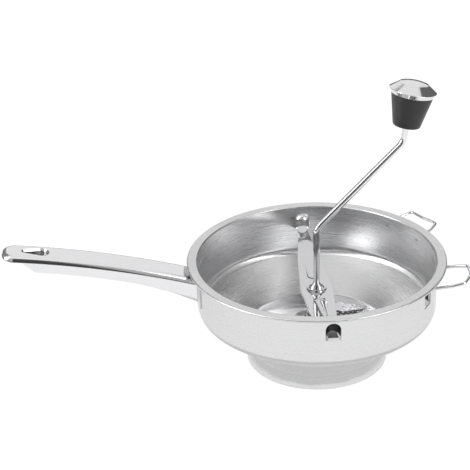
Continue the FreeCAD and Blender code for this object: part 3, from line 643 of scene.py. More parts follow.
# --------------------------------------------------------------------------- surface helpers
@dataclass
class Skin:
    """Faces with the exact normal of the pressed or turned surface at each corner."""

    points: list[Vector] = field(default_factory=list)
    faces: list[tuple[int, ...]] = field(default_factory=list)
    normals: list[Vector] = field(default_factory=list)

    def add_point(self, point: Vector) -> int:
        """Keep a corner and return its number."""
        self.points.append(point)
        return len(self.points) - 1

    def add_face(self, corners: list[int], normals: list[Vector]) -> None:
        """Keep a face, wound so that it looks the way its normals point.

        Args:
            corners: numbers of its corners in order.
            normals: the surface normal at each of them.
        """
        places = [self.points[index] for index in corners]
        facing = (places[1] - places[0]).cross(places[2] - places[0])
        if len(corners) == 4:
            facing += (places[2] - places[0]).cross(places[3] - places[0])
        if facing.length < FACE_LIMIT:
            return
        if facing.dot(normals[0]) < 0.0:
            corners, normals = corners[::-1], normals[::-1]
        self.faces.append(tuple(corners))
        self.normals.extend(normals)

    def add_grid(self, rows: list[Section], closed: bool = False) -> None:
        """Join rows of (place, normal) pairs with quads.

        Args:
            rows: rows of equal length.
            closed: whether the last row joins the first.
        """
        numbers = [[self.add_point(place) for place, _ in row] for row in rows]
        count = len(rows)
        for first in range(count if closed else count - 1):
            second = (first + 1) % count
            for k in range(len(rows[0]) - 1):
                self.add_face(
                    [numbers[first][k], numbers[first][k + 1], numbers[second][k + 1],
                     numbers[second][k]],
                    [rows[first][k][1], rows[first][k + 1][1], rows[second][k + 1][1],
                     rows[second][k][1]])

    def add_bands(self, ring: Callable[..., Section], bands: tuple) -> None:
        """Join pairs of closed rings.

        Args:
            ring: makes one ring from two measures and its two shares of the normal.
            bands: first measures, second measures and shares of the normal for each band.
        """
        for first, second, lean in bands:
            pairs = zip(ring(*first, *lean), ring(*second, *lean))
            self.add_grid([list(pair) for pair in pairs], closed=True)

    def add_sheet(self, outline: list[Vector], hole: list[Vector], inner: list[Vector],
                  lift: Callable[[Vector], tuple[Vector, Vector]]) -> None:
        """Fill an outline with a hole by triangles and lift them onto a curved surface.

        Args:
            outline: the flat outline.
            hole: flat outline of what stays open.
            inner: more flat points inside, which let the sheet curve.
            lift: gives the place and the normal on the surface for a flat point.
        """
        flat: list[Vector] = []
        edges: list[tuple[int, int]] = []
        for loop in (outline, hole):
            start = len(flat)
            flat.extend(loop)
            edges.extend((start + k, start + (k + 1) % len(loop)) for k in range(len(loop)))
        flat.extend(point for point in inner if not inside(point, hole))
        corners, _, triangles, _, _, _ = delaunay_2d_cdt(
            [Vector(point[:2]) for point in flat], edges, [], 1, 1e-9)
        raised = [lift(corner) for corner in corners]
        numbers = [self.add_point(place) for place, _ in raised]
        for triangle in triangles:
            middle = sum((corners[k] for k in triangle), Vector((0.0, 0.0))) / len(triangle)
            if not inside(middle, hole):
                self.add_face([numbers[k] for k in triangle], [raised[k][1] for k in triangle])

    def mesh(self, name: str) -> bpy.types.Mesh:
        """Make the mesh, with its own normals."""
        return mesh_with_normals(name, self.points, self.faces, self.normals)


def inside(point: Vector, loop: list[Vector]) -> bool:
    """Whether a flat point lies inside a closed flat loop.

    Args:
        point: the point.
        loop: the loop's corners in order.

    Returns:
        True inside, False outside.
    """
    crossings = 0
    for first, second in zip(loop, loop[1:] + loop[:1]):
        if (first.y > point.y) != (second.y > point.y):
            share = (point.y - first.y) / (second.y - first.y)
            crossings += point.x < first.x + share * (second.x - first.x)
    return crossings % 2 == 1


def arc_points(centre: Vector, radius: float, start: float, end: float,
               steps: int) -> Section:
    """Flat points and outward normals along an arc.

    Args:
        centre: the arc's centre.
        radius: its radius.
        start: start angle in degrees.
        end: end angle in degrees.
        steps: how many runs it is divided into.

    Returns:
        (place, normal) pairs.
    """
    pairs = []
    for step in range(steps + 1):
        turn = math.radians(start + (end - start) * step / steps)
        out = Vector((math.cos(turn), math.sin(turn)))
        pairs.append((centre + out * radius, out))
    return pairs


def turned(piece: Section, segments: int, axes: tuple[Vector, Vector, Vector],
           origin: Vector) -> list[Section]:
    """Turn one piece of a flat section round an axis into rows.

    Args:
        piece: (place, normal) pairs; x runs outwards and y along the axis.
        segments: how many steps the turn has.
        axes: two directions square to the axis, and the axis.
        origin: the axis's foot.

    Returns:
        One row for each step.
    """
    side, other, axis = axes
    rows = []
    for step in range(segments):
        turn = 2 * math.pi * step / segments
        out = side * math.cos(turn) + other * math.sin(turn)
        rows.append([(origin + out * place.x + axis * place.y,
                      out * normal.x + axis * normal.y) for place, normal in piece])
    return rows


def rounded_line(corners: list[Vector], radii: list[float], steps: int = 8) -> list[Section]:
    """Straight runs and tangent arcs, each as its own list of (place, normal) pairs.

    Args:
        corners: flat corners; the normals point to the left of the line.
        radii: one radius for each inner corner.
        steps: runs in each arc.

    Returns:
        One list for each run or arc.
    """
    pieces = []
    start = corners[0]
    for index in range(1, len(corners) - 1):
        corner = corners[index]
        back = (corners[index - 1] - corner).normalized()
        ahead = (corners[index + 1] - corner).normalized()
        half = back.angle(ahead) / 2
        reach = radii[index - 1] / math.tan(half)
        first, last = corner + back * reach, corner + ahead * reach
        run_normal = Vector((back.y, -back.x))
        pieces.append([(start, run_normal), (first, run_normal)])
        centre = corner + (back + ahead).normalized() * (radii[index - 1] / math.sin(half))
        sign = 1.0 if (first - centre).dot(run_normal) > 0 else -1.0
        start_turn = math.atan2(first.y - centre.y, first.x - centre.x)
        turned = (math.atan2(last.y - centre.y, last.x - centre.x) - start_turn + math.pi) % (
            2 * math.pi) - math.pi
        bend = arc_points(centre, radii[index - 1], math.degrees(start_turn),
                          math.degrees(start_turn + turned), steps)
        pieces.append([(place, out * sign) for place, out in bend])
        start = last
    heading = (corners[-1] - start).normalized()
    run_normal = Vector((-heading.y, heading.x))
    pieces.append([(start, run_normal), (corners[-1], run_normal)])
    return pieces


# --------------------------------------------------------------------------- sub-assemblies
@dataclass
class Bowl:
    """The spun bowl with its three hooded slots, hemmed foot and rolled rim."""

    finishes: Finishes
    sheet: float = 0.0008
    rim_height: float = 0.103
    rim_radius: float = 0.120
    rim_bead: float = 0.0013
    rim_bend: float = 0.0016
    wall_radius: float = 0.1112
    corner_radius: float = 0.011
    cone_deg: float = 31.5
    neck: tuple[float, float] = (0.0665, 0.0257)
    neck_bend: float = 0.0015
    waist: tuple[float, float] = (0.0652, 0.015)
    waist_bend: float = 0.004
    foot_radius: float = 0.0663
    foot_hem: tuple[float, float] = (0.002, 0.003)
    foot_round: float = 0.0007
    slot_middle: float = 0.0865
    slot_reach: float = 0.0105
    recess_edge: float = 0.0018
    on_side: float = 0.00002
    slot_degrees: tuple[float, ...] = (-90.0, 90.0, -33.8)
    segments: int = 240
    block: int = 6
    wall_rows: int = 10
    bead_steps: int = 20

    def profile(self) -> list[Section]:
        """The turned section.

        Returns:
            Its runs and bends, each as (place, normal) pairs.
        """
        knee = self.neck[1] + (self.wall_radius - self.neck[0]) * math.tan(
            math.radians(self.cone_deg))
        under = self.rim_height - self.sheet
        hem_width, hem_height = self.foot_hem
        ball = Vector((self.rim_radius - self.rim_bead, self.rim_height - self.rim_bead))
        outer = rounded_line(
            [Vector((ball.x, under)), Vector((self.wall_radius, under)),
             Vector((self.wall_radius, knee)), Vector(self.neck), Vector(self.waist),
             Vector((self.foot_radius, 0.0)), Vector((self.foot_radius - hem_width, 0.0))],
            [self.rim_bend - self.sheet, self.corner_radius, self.neck_bend,
             self.waist_bend, self.foot_round])
        inner = [[(place - normal * self.sheet, -normal) for place, normal in piece]
                 for piece in outer[:-2]]
        (top, facing), (low, _) = inner[-1]
        seam = top + (low - top) * ((top.y - hem_height) / (top.y - low.y))
        inner[-1] = [(top, facing), (seam, facing)]
        meet = math.asin((under - ball.y) / self.rim_bead)
        outer[0][0] = (Vector((ball.x - self.rim_bead * math.cos(meet), under)), outer[0][0][1])
        bead = arc_points(ball, self.rim_bead, 90.0, -180.0 - math.degrees(meet),
                          self.bead_steps)
        back = self.foot_radius - hem_width
        inward, up = Vector((-1.0, 0.0)), Vector((0.0, 1.0))
        fold = Vector((back, hem_height))
        hem = [[(Vector((back, 0.0)), inward), (fold, inward)], [(fold, up), (seam, up)]]
        return outer + inner + [bead] + hem

    def is_wall(self, piece: Section) -> bool:
        """Whether a run of the section is the tall upright wall."""
        run = piece[0][0] - piece[-1][0]
        return abs(run.x) < SEAM_REACH and abs(run.y) > 2 * self.slot_reach

    def add_hoods(self, skin: Skin, painted_shade: Skin) -> list[list[Vector]]:
        """Add the slots' edges and hoods.

        Args:
            skin: what their outer faces are added to.
            painted_shade: what the deep faces inside the hoods are added to; their near-black
                finish is painted shade.

        Returns:
            For each slot, the corners of its faces.
        """
        source = smooth_copy("bowl")
        sides = (self.wall_radius, self.wall_radius - self.sheet)
        spots = [[] for _ in self.slot_degrees]
        middles = [Vector((self.wall_radius * math.cos(math.radians(angle)),
                           self.wall_radius * math.sin(math.radians(angle)),
                           self.slot_middle)) for angle in self.slot_degrees]
        for face in source.polygons:
            slot = min(range(len(middles)), key=lambda k: (middles[k] - face.center).length)
            away = face.center - middles[slot]
            if abs(away.z) > self.slot_reach or away.xy.length > self.slot_reach:
                continue
            places = [source.vertices[index].co for index in face.vertices]
            if any(all(abs(place.xy.length - side) < self.on_side for place in places)
                   for side in sides):
                continue
            toward = Vector((middles[slot].x, middles[slot].y, 0.0)).normalized()
            inward = Vector((away.x, away.y, max(0.0, away.z)))
            deep = away.xy.dot(toward.xy) < -self.recess_edge
            # Faces deep inside a hood go to the near-black skin that paints the hood's shade.
            side = painted_shade if deep and face.normal.dot(inward) < 0.0 else skin
            side.add_face([side.add_point(place.copy()) for place in places],
                          [source.corner_normals[loop].vector.copy()
                           for loop in face.loop_indices])
            spots[slot].extend(place.copy() for place in places)
        return spots

    def add_wall(self, skin: Skin, piece: Section, spots: list[list[Vector]]) -> None:
        """Add one side of the upright wall with its three slots.

        Args:
            skin: what the wall is added to.
            piece: the two ends of the wall's line.
            spots: the corners of each slot's faces.
        """
        radius, facing = piece[0][0].x, piece[0][1].x
        low, high = sorted((piece[0][0].y, piece[1][0].y))
        step = 2 * math.pi / self.segments * radius

        def lift(flat: Vector) -> tuple[Vector, Vector]:
            """Roll a flat point of the wall round the axis."""
            out = Vector((math.cos(flat.x / radius), math.sin(flat.x / radius), 0.0))
            return out * radius + Vector((0.0, 0.0, flat.y)), out * facing

        taken = set()
        for angle, corners in zip(self.slot_degrees, spots):
            centre = math.radians(angle) % (2 * math.pi) * radius
            hole = {}
            for corner in corners:
                if abs(corner.xy.length - radius) < self.on_side:
                    turn = math.atan2(corner.y, corner.x) - math.radians(angle)
                    turn = (turn + math.pi) % (2 * math.pi) - math.pi
                    flat = Vector((centre + turn * radius, corner.z))
                    hole[(round(flat.x, 6), round(flat.y, 6))] = flat
            loop = sorted(hole.values(), key=lambda flat: math.atan2(
                flat.y - self.slot_middle, flat.x - centre))
            first = int(centre / step) - self.block
            columns = [(first + k) * step for k in range(2 * self.block + 2)]
            outline = [Vector((x, low)) for x in columns]
            outline += [Vector((x, high)) for x in reversed(columns)]
            middle = [Vector((x, low + (high - low) * k / self.wall_rows))
                      for x in columns[1:-1] for k in range(1, self.wall_rows)]
            skin.add_sheet(outline, loop, middle, lift)
            taken.update((first + k) % self.segments for k in range(2 * self.block + 1))
        for column in sorted(set(range(self.segments)) - taken):
            skin.add_grid([[lift(Vector((edge * step, height))) for height in (low, high)]
                           for edge in (column, column + 1)])

    def build(self) -> None:
        """Turn the section and put the slots and their hoods into the wall."""
        skin, painted_shade = Skin(), Skin()
        axes = tuple(Matrix.Identity(3))
        spots = self.add_hoods(skin, painted_shade)
        for piece in self.profile():
            if self.is_wall(piece):
                self.add_wall(skin, piece, spots)
            else:
                skin.add_grid(turned(piece, self.segments, axes, Vector()), closed=True)
        # The deep hood faces get the near-black finish: painted shade inside the slots.
        for name, part, finish in (("bowl_turned", skin, self.finishes.bowl),
                                   ("slot_painted_shade_faces", painted_shade, self.finishes.painted_shade)):
            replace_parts(add_piece(name, part.mesh(name), Body.MILL, finish), "bowl")


@dataclass
class SieveDisc:
    """The perforated disc, with a pressed rim round each perforation."""

    finishes: Finishes
    hole_radius: float = 0.001
    pitch: float = 0.0048
    reach: float = 0.064
    rim_wire: float = 0.00012
    rim_sides: int = 12
    wire_sides: int = 4
    crease_deg: float = 100.0
    flat_reach: float = 0.0512
    bare_reach: float = 0.00768

    def perforations(self) -> bpy.types.Mesh:
        """Find the disc's perforations in its triangular pattern.

        Returns:
            A mesh with one loose point on the disc's top for each.
        """
        corners = [vertex.co for vertex in frame["nodes"]["sieve_disc"].data.vertices
                   if vertex.co.xy.length < self.reach]
        top = max(corner.z for corner in corners if corner.xy.length < self.flat_reach)
        seen = {(round(corner.x / self.hole_radius), round(corner.y / self.hole_radius))
                for corner in corners}
        row_step = self.pitch * math.sqrt(3) / 2
        rows = int(self.reach / row_step) + 1
        spots = []
        for row in range(-rows, rows + 1):
            for column in range(-rows - 1, rows + 2):
                x, y = (column + row % 2 / 2) * self.pitch, row * row_step
                edge = (round((x + self.hole_radius) / self.hole_radius),
                        round(y / self.hole_radius))
                if self.bare_reach < math.hypot(x, y) < self.reach and edge in seen:
                    spots.append((x, y, top))
        mesh = bpy.data.meshes.new("perforation_points")
        mesh.from_pydata(spots, [], [])
        LOG.info("perforations: %d", len(spots))
        return mesh

    def build(self) -> None:
        """Dress the disc and press a rim round each perforation."""
        replace_node("sieve_disc", Body.MILL, self.finishes.disc)
        grower = Grower("perforation_rims")
        grower.size("Hole", self.hole_radius + self.rim_wire)
        grower.size("Wire", self.rim_wire)
        tree = grower.tree
        line = grower.circle("Hole", self.rim_sides)
        rim = grower.tube(line, "Wire", self.wire_sides)
        spread = tree.add("GeometryNodeInstanceOnPoints")
        tree.link(grower.start.outputs[0], spread.inputs["Points"])
        tree.link(rim, spread.inputs["Instance"])
        grower.finish(spread.outputs[0], self.finishes.disc)
        mesh = close_and_smooth(grower.run(self.perforations()), self.crease_deg)
        add_piece("perforation_rims", mesh, Body.MILL, self.finishes.disc)


@dataclass
class Crossbar:
    """The stamped crossbar with the bushing and the spring seat."""

    finishes: Finishes

    def build(self) -> None:
        """Dress the bar and what it holds."""
        replace_node("crossbar", Body.MILL, self.finishes.bar)
        for node in ("shaft_bushing", "spring_seat"):
            replace_node(node, Body.MILL, self.finishes.fitting)


@dataclass
class PressureSpring:
    """A compression spring with closed ends, between the thrust washer and its seat."""

    finishes: Finishes
    wire_radius: float = 0.0008
    turns: float = 7.0
    plain_share: float = 0.55
    crease_deg: float = 40.0
    steps_per_turn: int = 40
    wire_sides: int = 16

    def build(self) -> None:
        """Grow the spring along a helix."""
        low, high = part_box("pressure_spring")
        mean_radius = (high.x - low.x) / 2 - self.wire_radius
        foot = low.z + self.wire_radius
        rise = high.z - low.z - 2 * self.wire_radius
        grower = Grower("spring_coils")
        for name, value in (("Turns", self.turns), ("Radius", mean_radius),
                            ("Wire", self.wire_radius), ("Foot", foot), ("Rise", rise)):
            grower.size(name, value)
        tree = grower.tree
        spiral = tree.add("GeometryNodeCurveSpiral", Resolution=self.steps_per_turn, Height=1.0)
        for name, socket in (("Turns", "Rotations"), ("Radius", "Start Radius"),
                             ("Radius", "End Radius")):
            tree.link(grower.given(name), spiral.inputs[socket])
        share = tree.add("GeometryNodeSplineParameter").outputs["Factor"]
        eased = tree.add("ShaderNodeMapRange", interpolation_type="SMOOTHSTEP")
        tree.link(share, eased.inputs["Value"])
        mixed = tree.math("ADD", tree.math("MULTIPLY", share, self.plain_share),
                          tree.math("MULTIPLY", eased.outputs["Result"],
                                    1.0 - self.plain_share))
        height = tree.math("ADD", tree.math("MULTIPLY", mixed, grower.given("Rise")),
                           grower.given("Foot"))
        place = tree.add("ShaderNodeSeparateXYZ")
        tree.link(tree.add("GeometryNodeInputPosition").outputs[0], place.inputs[0])
        joined = tree.add("ShaderNodeCombineXYZ")
        tree.link(place.outputs["X"], joined.inputs["X"])
        tree.link(place.outputs["Y"], joined.inputs["Y"])
        tree.link(height, joined.inputs["Z"])
        moved = tree.add("GeometryNodeSetPosition")
        tree.link(spiral.outputs[0], moved.inputs["Geometry"])
        tree.link(joined.outputs[0], moved.inputs["Position"])
        coils = grower.tube(moved.outputs[0], "Wire", self.wire_sides, capped=True)
        grower.finish(coils, self.finishes.fitting)
        mesh = close_and_smooth(grower.run(bpy.data.meshes.new("spring_seed")),
                                limit_deg=self.crease_deg)
        piece = add_piece("pressure_spring_coils", mesh, Body.MILL, self.finishes.fitting)
        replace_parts(piece, "pressure_spring")
        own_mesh(piece)


@dataclass
class CrankAndBlade:
    """The bent rod, the pressing blade with its hub and pin, and the thrust washer."""

    finishes: Finishes

    def build(self) -> None:
        """Dress the turning pieces."""
        replace_node("crank_rod", Body.CRANK, self.finishes.rod)
        replace_node("blade_plate", Body.CRANK, self.finishes.blade)
        for node in ("blade_hub", "drive_pin", "knob_clip"):
            replace_node(node, Body.CRANK, self.finishes.fitting)
        replace_node("thrust_washer", Body.WASHER, self.finishes.fitting)


@dataclass
class Knob:
    """The tapered black grip under its faceted and domed steel cap."""

    finishes: Finishes
    cap_radius: float = 0.022
    crown_radius: float = 0.0132
    skirt: float = 0.004
    flank: float = 0.0062
    rise: float = 0.0082
    edge_round: float = 0.0004
    on_foot: float = 0.00001
    edge_steps: int = 4
    dome_steps: int = 12
    segments: int = 96

    def cap(self) -> bpy.types.Mesh:
        """Turn the cap about the knob's axis: skirt, flank and a flatter crown.

        Returns:
            The cap's mesh.
        """
        joint = joint_facts("knob_spin")
        origin, axis = Vector(joint["pos_m"]), Vector(joint["axis"]).normalized()
        side = axis.orthogonal().normalized()
        heights, reaches = [], []
        for vertex in frame["nodes"]["knob_cap"].data.vertices:
            away = vertex.co - origin
            heights.append(away.dot(axis))
            reaches.append((away - axis * heights[-1]).length)
        foot = min(heights)
        low = [reach for reach, height in zip(reaches, heights) if height < foot + self.on_foot]
        bore, brim = min(low), max(low)
        apex, ledge = self.skirt + self.rise, self.skirt + self.flank
        drop = apex - ledge
        ball = (self.crown_radius ** 2 + drop ** 2) / (2 * drop)
        dome = [Vector((reach, apex - ball + math.sqrt(ball ** 2 - reach ** 2)))
                for reach in (self.crown_radius * (1.0 - k / self.dome_steps)
                              for k in range(self.dome_steps + 1))]
        flat = rounded_line(
            [Vector((bore, 0.0)), Vector((brim, 0.0)), Vector((self.cap_radius, self.skirt)),
             Vector((self.crown_radius, ledge))],
            [self.edge_round, self.edge_round], self.edge_steps)
        pieces = [[(place, -normal) for place, normal in piece] for piece in flat]
        centre = Vector((0.0, apex - ball))
        pieces.append([(place, (place - centre).normalized()) for place in dome])
        inward, down = Vector((-1.0, 0.0)), Vector((0.0, -1.0))
        inner = Vector((bore, self.skirt))
        pieces.append([(inner, inward), (Vector((bore, 0.0)), inward)])
        pieces.append([(Vector((0.0, self.skirt)), down), (inner, down)])
        skin = Skin()
        for piece in pieces:
            skin.add_grid(turned(piece, self.segments, (side, axis.cross(side), axis),
                                 origin + axis * foot), closed=True)
        return skin.mesh("knob_cap_turned")

    def build(self) -> None:
        """Dress the knob."""
        replace_node("knob_grip", Body.KNOB, self.finishes.grip)
        piece = add_piece("knob_cap_turned", self.cap(), Body.KNOB, self.finishes.cap)
        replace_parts(piece, "knob_cap")


@dataclass
class Handle:
    """The hollow handle: a rounded pan on top, a keel and the plate at the wall."""

    finishes: Finishes
    wall_radius: float = 0.1112
    root_height: float = 0.0934
    root_deg: float = 17.3
    arc: float = 0.902
    tip: float = 0.2868
    half_width: float = 0.015
    depth: float = 0.0052
    sheet: float = 0.001
    edge_round: float = 0.006
    tip_round: float = 0.0125
    hole_reach: float = 0.256
    hole_length: float = 0.022
    hole_half: float = 0.0056
    hole_tip: float = 0.0016
    bevel: float = 0.0016
    sleeve_start: float = 0.0045
    sleeve_slope: float = 0.6
    sleeve_least: float = 0.0004
    sleeve_most: float = 0.0064
    side_steps: int = 64
    bend_steps: int = 14
    round_steps: int = 10
    across_steps: int = 12
    along_steps: int = 40
    hole_steps: tuple[int, int] = (22, 12)

    def __post_init__(self) -> None:
        """Work out the long arc's centre and the line where the pan meets the wall."""
        slope = math.radians(self.root_deg)
        self.centre = Vector((-self.wall_radius - math.sin(slope) * self.arc, 0.0,
                              self.root_height - math.cos(slope) * self.arc))
        self.root = -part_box("handle_shell")[1].x

    def lift(self, flat: Vector, deep: float) -> tuple[Vector, Vector]:
        """The place and the upward normal at a plan point, below the long arc.

        Args:
            flat: distance from the bowl's axis and distance from the handle's middle.
            deep: distance below the top surface.

        Returns:
            The place and the normal.
        """
        across = -flat.x - self.centre.x
        radius = self.arc - deep
        rise = math.sqrt(radius * radius - across * across)
        return (Vector((-flat.x, flat.y, self.centre.z + rise)),
                Vector((across, 0.0, rise)) / radius)

    def path(self, inset: float) -> Section:
        """The plan outline from the wall round the tip and back, with outward normals.

        Args:
            inset: how far it lies inside the outer outline.

        Returns:
            (flat place, outward normal) pairs.
        """
        half, radius = self.half_width - inset, self.tip_round - inset
        bend = Vector((self.tip - self.tip_round, self.half_width - self.tip_round))
        start = math.sqrt(self.root_line ** 2 - half ** 2)
        side = [(Vector((start + (bend.x - start) * k / self.side_steps, half)),
                 Vector((0.0, 1.0))) for k in range(self.side_steps)]
        corner = arc_points(bend, radius, 90.0, 0.0, self.bend_steps)
        near = side + corner
        return near + [(Vector((place.x, -place.y)), Vector((out.x, -out.y)))
                       for place, out in reversed(near)]

    @property
    def root_line(self) -> float:
        """Radius of the upright cylinder that the pan ends against."""
        return math.hypot(self.root, self.half_width)

    def root_point(self, y: float) -> Vector:
        """The plan point on that cylinder at a distance from the handle's middle."""
        return Vector((math.sqrt(self.root_line ** 2 - y * y), y))

    def across(self, half: float) -> list[float]:
        """Even steps across the handle, from one side to the other without the ends."""
        steps = self.across_steps
        return [half * (1.0 - 2 * k / steps) for k in range(1, steps)]

    def section(self, inset: float, radius: float, top: float) -> list[tuple[float, float, float]]:
        """Inset, depth and lean in radians down the rounded edge.

        Args:
            inset: how far the foot of the round lies inside the outer outline.
            radius: the round's radius.
            top: depth of its upper end below the top surface.

        Returns:
            One entry for each step.
        """
        last = math.acos(1.0 - (self.depth - top) / radius)
        leans = [last * k / self.round_steps for k in range(self.round_steps + 1)]
        return [(inset + radius * (1.0 - math.sin(lean)), top + radius * (1.0 - math.cos(lean)),
                 lean) for lean in leans]

    def ring(self, inset: float, deep: float, lean: float, facing: float) -> Section:
        """One line along the rounded edge.

        Args:
            inset: how far it lies inside the outer outline.
            deep: its depth below the top surface.
            lean: how far its normal leans from the top's, in radians.
            facing: 1 for the outer side, -1 for the inner side.

        Returns:
            (place, normal) pairs.
        """
        pairs = []
        for flat, out in self.path(inset):
            place, up = self.lift(flat, deep)
            sideways = Vector((-out.x, out.y, 0.0))
            normal = up * math.cos(lean) + sideways * math.sin(lean)
            pairs.append((place, normal.normalized() * facing))
        return pairs

    def drop(self, grow: float) -> Section:
        """The hanging hole's outline, round end first.

        Args:
            grow: how far it stands outside the hole.

        Returns:
            (flat place, outward normal) pairs.
        """
        big, small = self.hole_half + grow, self.hole_tip + grow
        near = Vector((self.hole_length / 2 - self.hole_half, 0.0))
        far = Vector((self.hole_tip - self.hole_length / 2, 0.0))
        lean = math.degrees(math.asin((self.hole_half - self.hole_tip) / (near.x - far.x)))
        return (arc_points(near, big, -90.0 - lean, 90.0 + lean, self.hole_steps[0])
                + arc_points(far, small, 90.0 + lean, 270.0 - lean, self.hole_steps[1]))

    def hole_ring(self, grow: float, height: float, out_share: float,
                  up_share: float) -> Section:
        """One ring of the hanging hole's collar.

        Args:
            grow: how far it stands outside the hole.
            height: its height above the handle's top.
            out_share: how much of the normal points away from the hole.
            up_share: how much of the normal points up.

        Returns:
            (place, normal) pairs.
        """
        origin, up = self.lift(Vector((self.hole_reach, 0.0)), 0.0)
        along = Vector((up.z, 0.0, -up.x))
        ring = []
        for flat, out in self.drop(grow):
            place = origin + along * flat.x + Vector((0.0, flat.y, 0.0)) + up * height
            away = along * out.x + Vector((0.0, out.y, 0.0))
            ring.append((place, (away * out_share + up * up_share).normalized()))
        return ring

    def add_plate(self, skin: Skin, inset: float, deep: float, grow: float,
                  facing: float) -> None:
        """Add the pan's top or the underside of its sheet, with the hanging hole in it.

        Args:
            skin: what it is added to.
            inset: how far its edge lies inside the outer outline.
            deep: its depth below the top surface.
            grow: how far its opening stands outside the hanging hole.
            facing: 1 for the top, -1 for the underside.
        """
        edge = [flat for flat, _ in self.path(inset)]
        half = edge[0].y
        root = [self.root_point(-y) for y in self.across(half)]
        hole = [Vector((-place.x, place.y)) for place, _ in
                self.hole_ring(grow, -deep, 0.0, 1.0)]
        start, end = edge[0].x, self.tip - self.tip_round
        inner = [Vector((start + (end - start) * k / self.along_steps, half * side))
                 for k in range(1, self.along_steps) for side in (-0.5, 0.0, 0.5)]

        def lift(flat: Vector) -> tuple[Vector, Vector]:
            """Raise a plan point onto the sheet."""
            place, up = self.lift(flat, deep)
            return place, up * facing

        skin.add_sheet(edge + root, hole, inner, lift)

    def add_root(self, skin: Skin, outer: list[tuple[float, float, float]],
                 inner: list[tuple[float, float, float]]) -> None:
        """Close the pan where it ends against the plate at the wall.

        Args:
            skin: what it is added to.
            outer: the outer side's rounded edge, as section gives it.
            inner: the inner side's rounded edge.
        """
        lines = []
        for rows in (outer, inner):
            rounds = [(self.half_width - inset, deep) for inset, deep, _ in reversed(rows)]
            top_half, top_deep = rounds[-1]
            line = rounds + [(y, top_deep) for y in self.across(top_half)]
            line += [(-half, deep) for half, deep in reversed(rounds)]
            lines.append([self.lift(self.root_point(y), deep)[0] for y, deep in line])
        skin.add_grid([[(place, Vector((-place.x, -place.y, 0.0)).normalized())
                        for place in pair] for pair in zip(*lines)])

    def sleeve_ring(self, grow: float, share: float, out_share: float,
                    up_share: float) -> Section:
        """One ring of the sleeve below the collar; its foot follows the keel's slope.

        Args:
            grow: how far it stands outside the hole.
            share: 0 at the collar, 1 at the sleeve's foot.
            out_share: how much of the normal points away from the hole.
            up_share: how much of the normal points up.

        Returns:
            (place, normal) pairs.
        """
        up = self.lift(Vector((self.hole_reach, 0.0)), 0.0)[1]
        ring = []
        for (flat, _), (place, normal) in zip(
                self.drop(grow), self.hole_ring(grow, -self.depth, out_share, up_share)):
            run = flat.x + self.hole_length / 2 - self.sleeve_start
            length = min(max(run * self.sleeve_slope, self.sleeve_least), self.sleeve_most)
            ring.append((place - up * (length * share), normal))
        return ring

    def add_sleeve(self) -> None:
        """Line the hanging hole below the collar, so the hollow keel isn't seen through it."""
        wall = self.sheet
        skin = Skin()
        skin.add_bands(self.sleeve_ring, (((0.0, 0.0), (0.0, 1.0), (-1.0, 0.0)),
                                          ((0.0, 1.0), (wall, 1.0), (0.0, -1.0)),
                                          ((wall, 1.0), (wall, 0.0), (1.0, 0.0)),
                                          ((wall, 0.0), (0.0, 0.0), (0.0, 1.0))))
        add_piece("hanging_hole_sleeve", skin.mesh("hanging_hole_sleeve"), Body.MILL,
                  self.finishes.weld)

    def build(self) -> None:
        """Press the pan and dress the keel and the plate."""
        skin = Skin()
        outer = self.section(0.0, self.edge_round, 0.0)
        inner = self.section(self.sheet, self.edge_round - self.sheet, self.sheet)
        for rows, facing in ((outer, 1.0), (inner, -1.0)):
            rings = [self.ring(inset, deep, lean, facing) for inset, deep, lean in rows]
            skin.add_grid(list(map(list, zip(*rings))))
        lip = [self.ring(rows[-1][0], self.depth, 0.0, -1.0) for rows in (outer, inner)]
        skin.add_grid(list(map(list, zip(*lip))))
        self.add_plate(skin, outer[0][0], 0.0, self.bevel, 1.0)
        self.add_plate(skin, inner[0][0], self.sheet, self.bevel, -1.0)
        self.add_root(skin, outer, inner)
        wall, rim, floor = self.sheet, self.bevel, -self.depth
        skin.add_bands(self.hole_ring, (((rim, 0.0), (0.0, -rim), (-1.0, 1.0)),
                                        ((0.0, -rim), (0.0, floor), (-1.0, 0.0)),
                                        ((0.0, floor), (wall, floor), (0.0, -1.0)),
                                        ((wall, floor), (wall, -rim), (1.0, 0.0)),
                                        ((wall, -rim), (rim, -wall), (1.0, -1.0))))
        piece = add_piece("handle_pan", skin.mesh("handle_pan"), Body.MILL,
                          self.finishes.handle)
        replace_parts(piece, "handle_shell")
        self.add_sleeve()
        replace_node("handle_keel", Body.MILL, self.finishes.handle)
        replace_node("handle_bracket", Body.MILL, self.finishes.bowl)


@dataclass
class PotHooks:
    """The two bent wire hooks and their welds."""

    finishes: Finishes

    def build(self) -> None:
        """Dress the hooks."""
        for node in ("pot_hook_side", "pot_hook_back"):
            replace_node(node, Body.MILL, self.finishes.wire)
        replace_node("hook_welds", Body.MILL, self.finishes.weld)


# --------------------------------------------------------------------------- studio
@dataclass(frozen=True)
class Flag:
    """A curved panel of one grey that stands or leans round the mill."""

    name: str
    start_deg: float
    end_deg: float
    tone: float
    low: float = 0.62
    high: float = 2.6
    low_reach: float = 2.4
    high_reach: float = 1.3
    steps: int = 12


